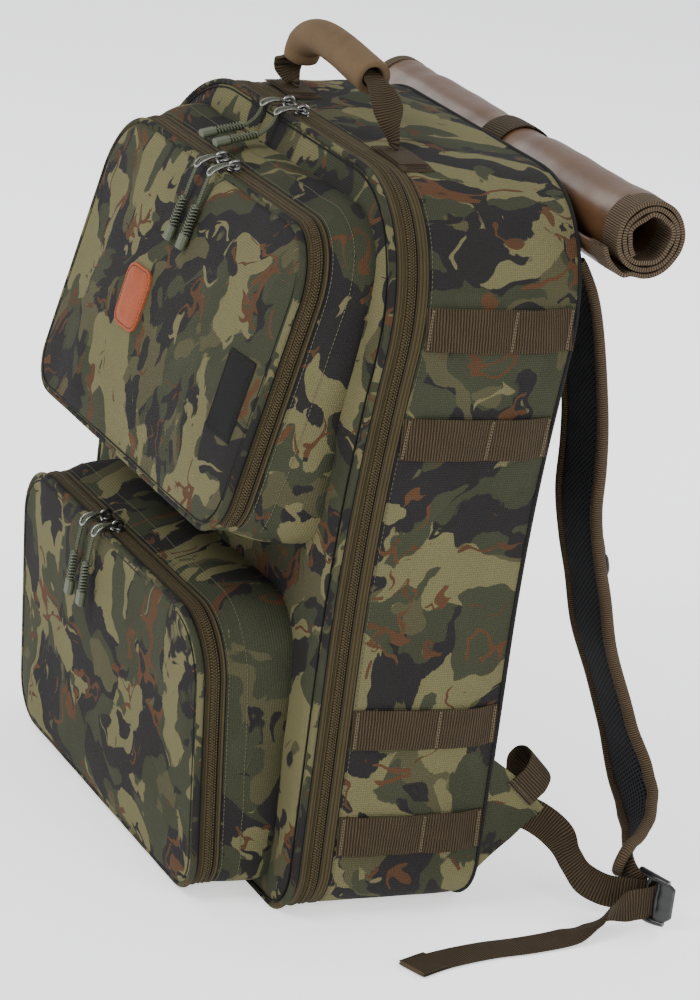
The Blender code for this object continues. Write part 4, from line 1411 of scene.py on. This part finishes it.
def inflate(piece, voxel, cap, hold):
    """Cloth swells the piece; no point moves further than cap, and held points stay."""
    bpy.context.view_layer.objects.active = piece
    remesh = piece.modifiers.new("remesh", "REMESH")
    remesh.mode, remesh.voxel_size = "VOXEL", voxel
    mesh = piece.data = evaluated(piece)
    group = piece.vertex_groups.new(name="held")
    for v in mesh.vertices:
        group.add([v.index], hold(v.co), "REPLACE")
    cloth = piece.modifiers.new("cloth", "CLOTH")
    settings = cloth.settings
    settings.quality = 5
    settings.use_pressure = True
    settings.uniform_pressure_force = 4.0
    settings.effector_weights.gravity = 0
    settings.tension_stiffness = 22
    settings.bending_stiffness = 0.8
    settings.vertex_group_mass = "held"
    cloth.collision_settings.use_collision = False
    for number in range(1, 21):
        bpy.context.scene.frame_set(number)
    swollen = evaluated(piece)
    for v, new in zip(mesh.vertices, swollen.vertices):
        move = new.co - v.co
        if move.length > cap:
            move = move.normalized() * cap
        v.co += move
    bpy.data.meshes.remove(swollen)
    bpy.context.scene.frame_set(1)
    bm = bmesh.new()
    bm.from_mesh(mesh)
    for _ in range(2):
        bmesh.ops.smooth_vert(bm, verts=bm.verts, factor=0.5,
                              use_axis_x=True, use_axis_y=True, use_axis_z=True)
    bm.to_mesh(mesh)
    bm.free()
    return mesh


def finish_pad(piece, materials, shift=(0.0, 0.0)):
    piece.data.materials.clear()
    for material in materials:
        piece.data.materials.append(material)
    modifier = piece.modifiers.new("subdivision", "SUBSURF")
    modifier.levels = modifier.render_levels = 1
    mesh = piece.data = evaluated(piece)
    mesh.shade_smooth()
    box_marks(mesh, shift)
    return mesh


BACK_PANEL = dict(half=0.204, low=0.012, high=0.458, low_r=0.030, high_r=0.060)
BACK_MIDDLE = (BACK_PANEL["low"] + BACK_PANEL["high"]) / 2
BACK_FACE = HALF_DEPTH + 0.0085             # where the spine pads lie on the mesh
CHANNELS = (0.075, 0.150, 0.225, 0.300, 0.375)
CHANNEL_START = 0.148                       # the channels run out from here to the sides
PAD_MIDDLE, PAD_HALF, PAD_LOW, PAD_HIGH = 0.088, 0.047, 0.052, 0.428


def back_mesh():
    """The mesh back panel: quilted by a middle seam, two long seams and side channels."""
    flat = outline(edge_steps(**BACK_PANEL), **BACK_PANEL)

    def panel_ring(share, depth):
        """The outline drawn in by a share, at depth(x, z) behind the shell's middle plane."""
        row = []
        for x, z in flat:
            x, z = x * share, BACK_MIDDLE + (z - BACK_MIDDLE) * share
            row.append(Vector((x, depth(x, z) + lean(z), z)))
        return row

    def quilted(share):
        def depth(x, z):
            seams = [abs(x), abs(abs(x) - CHANNEL_START)]
            if abs(x) > CHANNEL_START:
                seams += [abs(z - c) + 0.004 for c in CHANNELS]
            groove = 0.0030 * math.exp(-(min(seams) / 0.0035) ** 2)
            edge = 0.0045 * (1 - smooth((1 - share) / 0.06))
            return BACK_FACE + 0.0014 - groove - edge + 0.0008 * ripple((x, z, 0), 30, 3)
        return panel_ring(share, depth)

    skin = Skin()
    shares = [1 - 0.012 * k for k in range(12)] + [0.865 - 0.03 * k for k in range(1, 28)] + [0.02]
    rows = [panel_ring(1.0, lambda x, z: HALF_DEPTH + 0.0014)] + [quilted(share) for share in shares]
    skin.closed(rows, plane=flat_xz)
    panel = skin.make("back_mesh", "bag", [MESH], "air_mesh", ["back_panel"])
    edge = Skin()
    inset = 0.99682
    line = [Vector((x * inset, HALF_DEPTH + 0.0050 + lean(z), BACK_MIDDLE + (z - BACK_MIDDLE) * inset))
            for x, z in flat]
    rod(edge, line, 0.0036, 10, closed=True)
    edge.make("back_mesh_binding", "bag", [BLACK_BINDING], "webbing")


def spine_pad(side, label):
    """A swollen mesh pad beside the spine, pressed in by four cross seams and bound round."""
    middle = side * PAD_MIDDLE
    centre = (PAD_LOW + PAD_HIGH) / 2
    ring = outline((5, 20, 5, 5, 5), PAD_HALF, PAD_LOW, PAD_HIGH, 0.020, 0.020)
    start = Skin()
    layers = []
    under, over = 0.0016, 0.0090            # the flat pad's faces, before it swells
    for y, share in ((under, 0.10), (under, 0.6), (under, 1.0), (over, 1.0), (over, 0.6), (over, 0.10)):
        flat = [(middle + x * share, centre + (z - centre) * share) for x, z in ring]
        layers.append([Vector((x, BACK_FACE + y + lean(z), z)) for x, z in flat])
    start.closed(layers, both=True)
    pad = start.make("spine_pad_" + label, "bag", [MESH], "air_mesh", ["back_pad_" + label])
    mesh = inflate(pad, 0.005, 0.0055, lambda co: float(co.y < BACK_FACE + 0.0036 + lean(co.z)))
    for v in mesh.vertices:
        seam = min(abs(v.co.z - (0.128 + 0.075 * k)) for k in range(4))
        rise = v.co.y - (BACK_FACE + 0.002 + lean(v.co.z))
        v.co.y -= max(0.0, rise) * 0.42 * math.exp(-(seam / 0.006) ** 2)
    finish_pad(pad, [MESH])
    trim = Skin()
    line = [Vector((middle + x * 1.05, BACK_FACE + 0.0028 + lean(z), z)) for x, z in ring]
    rod(trim, curve(line, 150, closed=True), 0.0026, 8, closed=True)
    trim.make("spine_pad_binding_" + label, "bag", [BLACK_BINDING], "webbing")


def back_padding():
    back_mesh()
    for side, label in SIDES:
        spine_pad(side, label)


# ------------------------------------------------------------------ shoulder straps
# Routes of the right-hand side. The pad's has (x, y, z, width), and each ACROSS has the way over the
# webbing at each point of its route.
PAD_ROUTE = (
    (0.150, 0.1038, 0.485, 0.060), (0.150, 0.1130, 0.472, 0.060), (0.150, 0.1240, 0.450, 0.060),
    (0.150, 0.1340, 0.415, 0.060), (0.150, 0.1450, 0.362, 0.060), (0.150, 0.1495, 0.325, 0.060),
    (0.150, 0.1515, 0.290, 0.060), (0.150, 0.1600, 0.254, 0.060), (0.150, 0.1700, 0.223, 0.060),
    (0.151, 0.1810, 0.183, 0.060), (0.154, 0.1980, 0.143, 0.058), (0.162, 0.2070, 0.114, 0.056),
    (0.176, 0.2130, 0.087, 0.052), (0.194, 0.2140, 0.068, 0.044), (0.212, 0.2080, 0.056, 0.036),
    (0.227, 0.1970, 0.047, 0.030), (0.238, 0.1840, 0.042, 0.027))
PAD_ACROSS = ((1, 0, 0),) * 12 + (
    (1, 0.1, 0.1), (1, 0.1, 0.3), (1, 0.1, 0.8), (0.7, 0.1, 1.2), (0.4, 0.1, 1.4))
WEBBING_ROUTE = (
    (0.196, 0.105, 0.070), (0.202, 0.126, 0.062), (0.210, 0.142, 0.050), (0.222, 0.148, 0.036),
    (0.234, 0.154, 0.026), (0.244, 0.166, 0.0205), (0.252, 0.1795, 0.0200), (0.2560, 0.1880, 0.0200))
WEBBING_ACROSS = ((0, 0.55, 0.83), (0, 0.4, 0.9), (0, 0.25, 1), (0.25, 0.1, 1)) + ((0, 0, 1),) * 4
TAIL_ROUTE = (
    (0.2560, 0.1880, 0.0200), (0.2590, 0.1960, 0.0200), (0.2615, 0.2010, 0.0200), (0.2655, 0.2005, 0.0195),
    (0.2680, 0.1890, 0.0185), (0.2678, 0.178, 0.0175), (0.268, 0.160, 0.0130), (0.273, 0.143, 0.0065),
    (0.279, 0.120, 0.0022), (0.284, 0.085, 0.0012), (0.287, 0.050, 0.0012), (0.295, 0.012, 0.0012),
    (0.306, -0.017, 0.0012))
TAIL_ACROSS = ((0, 0, 1),) * 6 + ((0.5, 0, 0.8), (0.9, 0, 0.35)) + ((1, 0, 0),) * 5
# The short webbing that joins the pad's foot to the lock.
LINK_ROUTE = ((0.229, 0.1945, 0.0450), (0.238, 0.1865, 0.0400), (0.2450, 0.1855, 0.0320),
              (0.2505, 0.1900, 0.0250), (0.2530, 0.1950, 0.0235))
LOCK_CENTRE = Vector((0.264, 0.1960, 0.0215))
LOCK_TURN = math.radians(75)                # from straight back toward the side
D_RING_PIVOT = Vector((0.150, 0.1745, 0.2500))


def flip(points, side):
    """Points of the right-hand side, mirrored to the left when side is -1."""
    return [Vector((side * p[0], p[1], p[2])) for p in points]


def keyed(keys, values, fine):
    """Values given at listed points, read at every point of the fine curve through them."""
    places, k = [], 0
    for key in keys:
        k = min(range(k, len(fine)), key=lambda i: (fine[i] - key).length)
        places.append(k)
    result = []
    for i in range(len(fine)):
        n = 0
        while n < len(places) - 2 and places[n + 1] <= i:
            n += 1
        t = smooth((i - places[n]) / max(1, places[n + 1] - places[n]))
        result.append(values[n] + (values[n + 1] - values[n]) * t)
    return result


def away_from_back(frames):
    """The side of each frame that looks back at first, kept on the same side along the strap."""
    outward = [up if up.y > 0 else -up for _, _, up in frames]
    for i in range(1, len(outward)):
        if outward[i].dot(outward[i - 1]) < 0:
            outward[i] = -outward[i]
    return outward


def shoulder_pad(side, label, body):
    """A swollen pad with mesh inside and camouflage outside, its binding and its webbing."""
    keys = flip([p[:3] for p in PAD_ROUTE], side)
    fine = curve(keys, 90)
    count = len(fine)
    widths = keyed(keys, [p[3] for p in PAD_ROUTE], fine)
    across = keyed(keys, [Vector((x, side * y, side * z)) for x, y, z in PAD_ACROSS], fine)
    frames = [turned(d, a) for d, a in zip(headings(fine), across)]
    outward = away_from_back(frames)

    start = Skin()
    swell_room = 0.007                      # the foam is cut narrower, because it swells
    strap(start, fine, across, [w - swell_room for w in widths],
          spread((0.0045, 0.0075, 0.0078, 0.0078, 0.0070, 0.0055), count))
    pad = start.make("shoulder_pad_foam_" + label, body, [MESH, CAMO], "air_mesh", ["shoulder_pad_" + label])

    def nearest(co):
        return min(range(count), key=lambda i: (fine[i] - co).length_squared)

    def held(co):
        i = nearest(co)
        sideways = abs((co - fine[i]).dot(frames[i][1]))
        return float(sideways > widths[i] / 2 - 0.0065 or i < 3 or i > count - 6)

    inflate(pad, 0.0042, 0.0032, held)
    mesh = finish_pad(pad, [MESH, CAMO], (0.4 * side, 0.3))
    for face in mesh.polygons:
        face.material_index = int(face.normal.dot(outward[nearest(face.center)]) > 0.25)

    def edge(i, hand):
        return fine[i] + frames[i][1] * (hand * (widths[i] / 2 - 0.0022))

    ahead, sideways, _ = frames[-1]
    half = widths[-1] / 2 - 0.0022
    tip = [fine[-1] - sideways * math.cos(a) * half + ahead * math.sin(a) * 0.010
           for a in (math.pi * k / 8 for k in range(1, 8))]
    line = [edge(i, -1) for i in range(1, count)] + tip + [edge(i, 1) for i in range(count - 1, 0, -1)]
    trim = Skin()
    rod(trim, line, spread((0.0036, 0.0046, 0.0046, 0.0044, 0.0046, 0.0046, 0.0036), len(line)), 12,
        side=(0, 1, 0.2))
    trim.make("shoulder_pad_binding_" + label, body, [BINDING], "webbing")

    web = Skin()
    run = range(1, count - 16)
    line = [fine[i] + outward[i] * (0.0036 + 0.0036 * smooth(i / 12)) for i in run]
    strap(web, line, [frames[i][1] for i in run], WEBBING_WIDTH, WEBBING_THICKNESS)
    at = min(range(count), key=lambda i: abs(fine[i].z - D_RING_PIVOT.z - 0.012))
    keeper = [fine[at - 2 + round(7 * t)] + outward[at] * (0.0086 + 0.0052 * math.sin(math.pi * t) ** 0.6)
              for t in fractions(12)]
    strap(web, keeper, [frames[at][1]] * len(keeper), 0.020, 0.0014)
    web.make("shoulder_webbing_" + label, body, [WEBBING], "webbing")

    link = Skin()
    strap(link, curve(flip(LINK_ROUTE, side), 22), [(side * 0.30, 0.1, 1.2)] * 22, 0.0235, 0.0026, cup=0.2)
    link.make("lock_webbing_" + label, body, [WEBBING], "webbing")


def lower_webbing(side, label):
    """The webbing from the wing through the lock, its loose tail, and a loop on the wing's seam."""
    skin = Skin()
    keys = flip(WEBBING_ROUTE, side)
    fine = curve(keys, 70)
    across = keyed(keys, [Vector(a) for a in WEBBING_ACROSS], fine)
    strap(skin, fine, across, WEBBING_WIDTH, 0.0017, columns=10)
    web = skin.make("adjusting_webbing_" + label, None, [WEBBING], "webbing", ["lower_webbing_" + label])
    tuple(fine[8])
    tuple(fine[-6])
    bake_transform(web)

    skin = Skin()
    keys = flip(TAIL_ROUTE, side)
    fine = curve(keys, 110)
    across = keyed(keys, [Vector((x, y, z * side)) for x, y, z in TAIL_ACROSS], fine)
    strap(skin, fine, across, WEBBING_WIDTH, 0.0017, columns=10)
    fold = [p + Vector((0, 0, 0.0019)) for p in fine[-12:]]
    strap(skin, fold, [(1, 0, 0)] * len(fold), WEBBING_WIDTH, 0.0015, columns=10)
    tail = skin.make("adjusting_tail_" + label, None, [WEBBING], "webbing", ["webbing_tail_" + label])
    tuple(fine[24])
    tuple(fine[80])
    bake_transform(tail)

    skin = Skin()
    seam, rise = Vector((0, 0.104, 0.0925)), Vector((0, 0.68, 0.73)).normalized()
    arc = ((HALF_WIDTH + 0.0004, -0.006), (HALF_WIDTH + 0.0010, 0.003), (HALF_WIDTH + 0.0010, 0.011),
           (0.2115, 0.0200), (0.2005, 0.0225), (0.1915, 0.0180), (0.1915, 0.0090), (0.2010, 0.0010))
    loop = [Vector((side * x, 0, 0)) + seam + rise * out for x, out in arc]
    strap(skin, curve(loop, 36), [(0, 0.70, -0.72)] * 36, 0.027, WEBBING_THICKNESS, columns=10)
    skin.make("wing_loop_" + label, "bag", [WEBBING], "webbing")


def wing(side, label):
    """The triangle of fabric that anchors the lower webbing: a puffed face, a flat back, closed edges."""
    top, high, low, foot = (Vector((0, y, z)) for y, z in (
        (HALF_DEPTH - 0.002, 0.1195), (0.0945, 0.1035), (0.1225, 0.0765), (HALF_DEPTH - 0.002, 0.029)))

    def sheet(inset, puffed):
        rows = []
        for t in fractions(14):
            row = []
            for s in fractions(12):
                p = top.lerp(high, t).lerp(foot.lerp(low, t), s)
                puff = puffed * (0.0012 * math.sin(math.pi * s) + 0.0015 * ripple(p, 40, 6))
                row.append(Vector((side * (HALF_WIDTH - inset + puff), p.y, p.z)))
            rows.append(row)
        return rows

    def flat_yz(p):
        return p.y, p.z

    skin = Skin()
    face, back = sheet(0.0008, 1), sheet(0.0038, 0)
    for rows in (face, back):
        skin.grid(rows, plane=flat_yz, shift=(0.3, 0.6))
    for edge in (lambda rows: [row[0] for row in rows], lambda rows: [row[-1] for row in rows],
                 lambda rows: rows[-1]):
        skin.grid([edge(face), edge(back)], plane=flat_yz)
    skin.make("strap_anchor_" + label, "bag", [CAMO], "camo_fabric", ["wing_" + label])
    sewing = Skin()
    for inset in (0.003, 0.0065):
        line = [Vector((side * (HALF_WIDTH + 0.0016), 0.0935 + 0.028 * t - inset * 0.7,
                        0.1030 - 0.027 * t - inset * 0.7)) for t in fractions(8)]
        stitches(sewing, line, [(side, 0, 0)] * len(line), pitch=0.0026)
    sewing.make("strap_anchor_stitches_" + label, "bag", [THREAD], "webbing")


def ladder_lock(side, label, body):
    """Moulded buckle: two rails, three cross bars and a broad thumb lip."""
    run = Vector((side * math.sin(LOCK_TURN), math.cos(LOCK_TURN), 0))
    normal = Vector((side * math.cos(LOCK_TURN), -math.sin(LOCK_TURN), 0))
    centre = flip([LOCK_CENTRE], side)[0]

    def place(a, v, n=0.0):
        return centre + run * a + Vector((0, 0, v)) + normal * n

    skin = Skin()
    bows = [math.sin(math.pi * t) for t in fractions(16)]
    for v in (-0.0162, 0.0162):
        rail = [place(-0.0145 + 0.029 * t, v * (1 + 0.04 * bow), 0.0026 * bow - 0.0008)
                for t, bow in zip(fractions(16), bows)]
        rod(skin, rail, [0.0020 + 0.0007 * bow for bow in bows], 12, side=(0, 0, 1), flat=1.25)
    for a, radius, bow in ((-0.0132, 0.0020, 0.0006), (-0.0030, 0.0018, 0.0022), (0.0064, 0.0019, 0.0016)):
        bar = [place(a, -0.0160 + 0.032 * t, bow - 0.0008 + 0.0007 * math.cos(math.pi * (2 * t - 1)))
               for t in fractions(12)]
        rod(skin, bar, radius, 10, side=tuple(run))
    rows = []
    for t in fractions(8):
        a, lift, half = 0.0085 + 0.0088 * t, 0.0008 - 0.0052 * t * t, 0.0165 * (1 - 0.30 * t ** 3)
        top = [place(a, half * (2 * j / 12 - 1), lift + 0.0016 + 0.0005 * math.sin(j * math.pi * 1.5))
               for j in range(13)]
        low = [place(a, half * (2 * j / 12 - 1), lift - 0.0014) for j in range(13)]
        rows.append(top + low[::-1])
    skin.closed(rows, both=True)
    skin.make("strap_buckle_" + label, body, [BUCKLE], "buckle_plastic", ["ladder_lock_" + label], sharp=40)


def d_ring(side, label):
    """A ring with a straight bar in its keeper, small corners and a round bow."""
    pivot = flip([D_RING_PIVOT], side)[0]
    down = Vector((0, 0.31, -1)).normalized()
    half, depth, corner, shoulder = 0.0125, 0.019, 0.0025, 0.006
    bar = [((half - corner) * (1 - 2 * t), 0) for t in fractions(8)]
    left = [(-half + corner * (1 - math.sin(a)), corner * (1 - math.cos(a))) for a in (0.4, 0.9, 1.4)]
    bow = [(-half * math.cos(math.pi * t), shoulder + (depth - shoulder) * math.sin(math.pi * t))
           for t in fractions(20)]
    right = [(-x, d) for x, d in left[::-1]]
    points = [pivot + Vector((x, 0, 0)) + down * d for x, d in bar + left + bow + right]
    skin = Skin()
    rod(skin, points, 0.00165, 12, closed=True, side=tuple(Vector((1, 0, 0)).cross(down)))
    skin.make("accessory_ring_" + label, "d_ring_" + label, [BUCKLE], "buckle_plastic", ["d_ring_" + label])


# ------------------------------------------------------------------ assembly
def zip_pair(name, rim, chain, end, front_end, behind, lid):
    """The two sides of a zip that parts a lid from the body behind it."""
    zip_band(name + "_band_rear", rim, chain + HALF_GAP, end, chain, behind, name + "_tape_rear")
    zip_band(name + "_band_front", rim, chain - HALF_GAP, front_end, chain, lid, name + "_tape_front")


def compartments():
    """The main compartment, the two pockets on its lid and their zips."""
    rim = main_rim()
    main_body(rim)
    zip_pair("main_zip", rim, MAIN_CHAIN, MAIN_END, 0.0044, "bag", "main_lid")
    main_lid(rim)
    piping("main_lid_piping", rim, "main_lid")
    for name, pocket, seed in (("upper", UPPER, 2), ("lower", LOWER, 6)):
        rim = pocket_rim(pocket)
        pocket_shell(name, rim, seed)
        zip_pair(name + "_zip", rim, POCKET_CHAIN, POCKET_END, 0.0032, "main_lid", name + "_lid")
        cover = pocket_lid(name, rim, pocket, seed)
        piping(name + "_lid_piping", rim, name + "_lid")
        if name == "upper":
            patches(surface_of(cover), rim.forward)


def patches(drop, forward):
    """The leather patch and the woven label, both left blank."""
    low, high = UPPER["front"]["low"], UPPER["front"]["high"]
    y_low, y_high = UPPER["front_y"]
    for name, x, z, size, radius, rise, material, slot, replaced in (
            ("badge", -0.040, 0.385, (0.038, 0.048), 0.0100, 0.0018, LEATHER, "leather", ["leather_patch"]),
            ("blank_label", 0.146, 0.372, (0.036, 0.060), 0.0020, 0.0009, LABEL, "webbing", [])):
        centre = Vector((x, y_low + (y_high - y_low) * (z - low) / (high - low), z))
        sewn_patch(name, drop, centre, forward, size, radius, rise, material, slot, replaced)


camera()
studio()
compartments()
for zip_name in ("main", "upper", "lower"):
    for side_name in ("left", "right"):
        slider(f"{zip_name}_slider_{side_name}", zip_name, side_name)
        pull(f"{zip_name}_pull_{side_name}", zip_name)
on_body = surface_of(bpy.data.objects["main_body"])
handle(on_body)
side_loops(on_body)
mat()
back_padding()
for hand, label in SIDES:
    strap_body = "strap_" + label
    shoulder_pad(hand, label, strap_body)
    lower_webbing(hand, label)
    wing(hand, label)
    ladder_lock(hand, label, strap_body)
    d_ring(hand, label)
for node in ("frame_sheet", "base_board"):
    bpy.data.objects[node].material_slots[0].material = BOARD
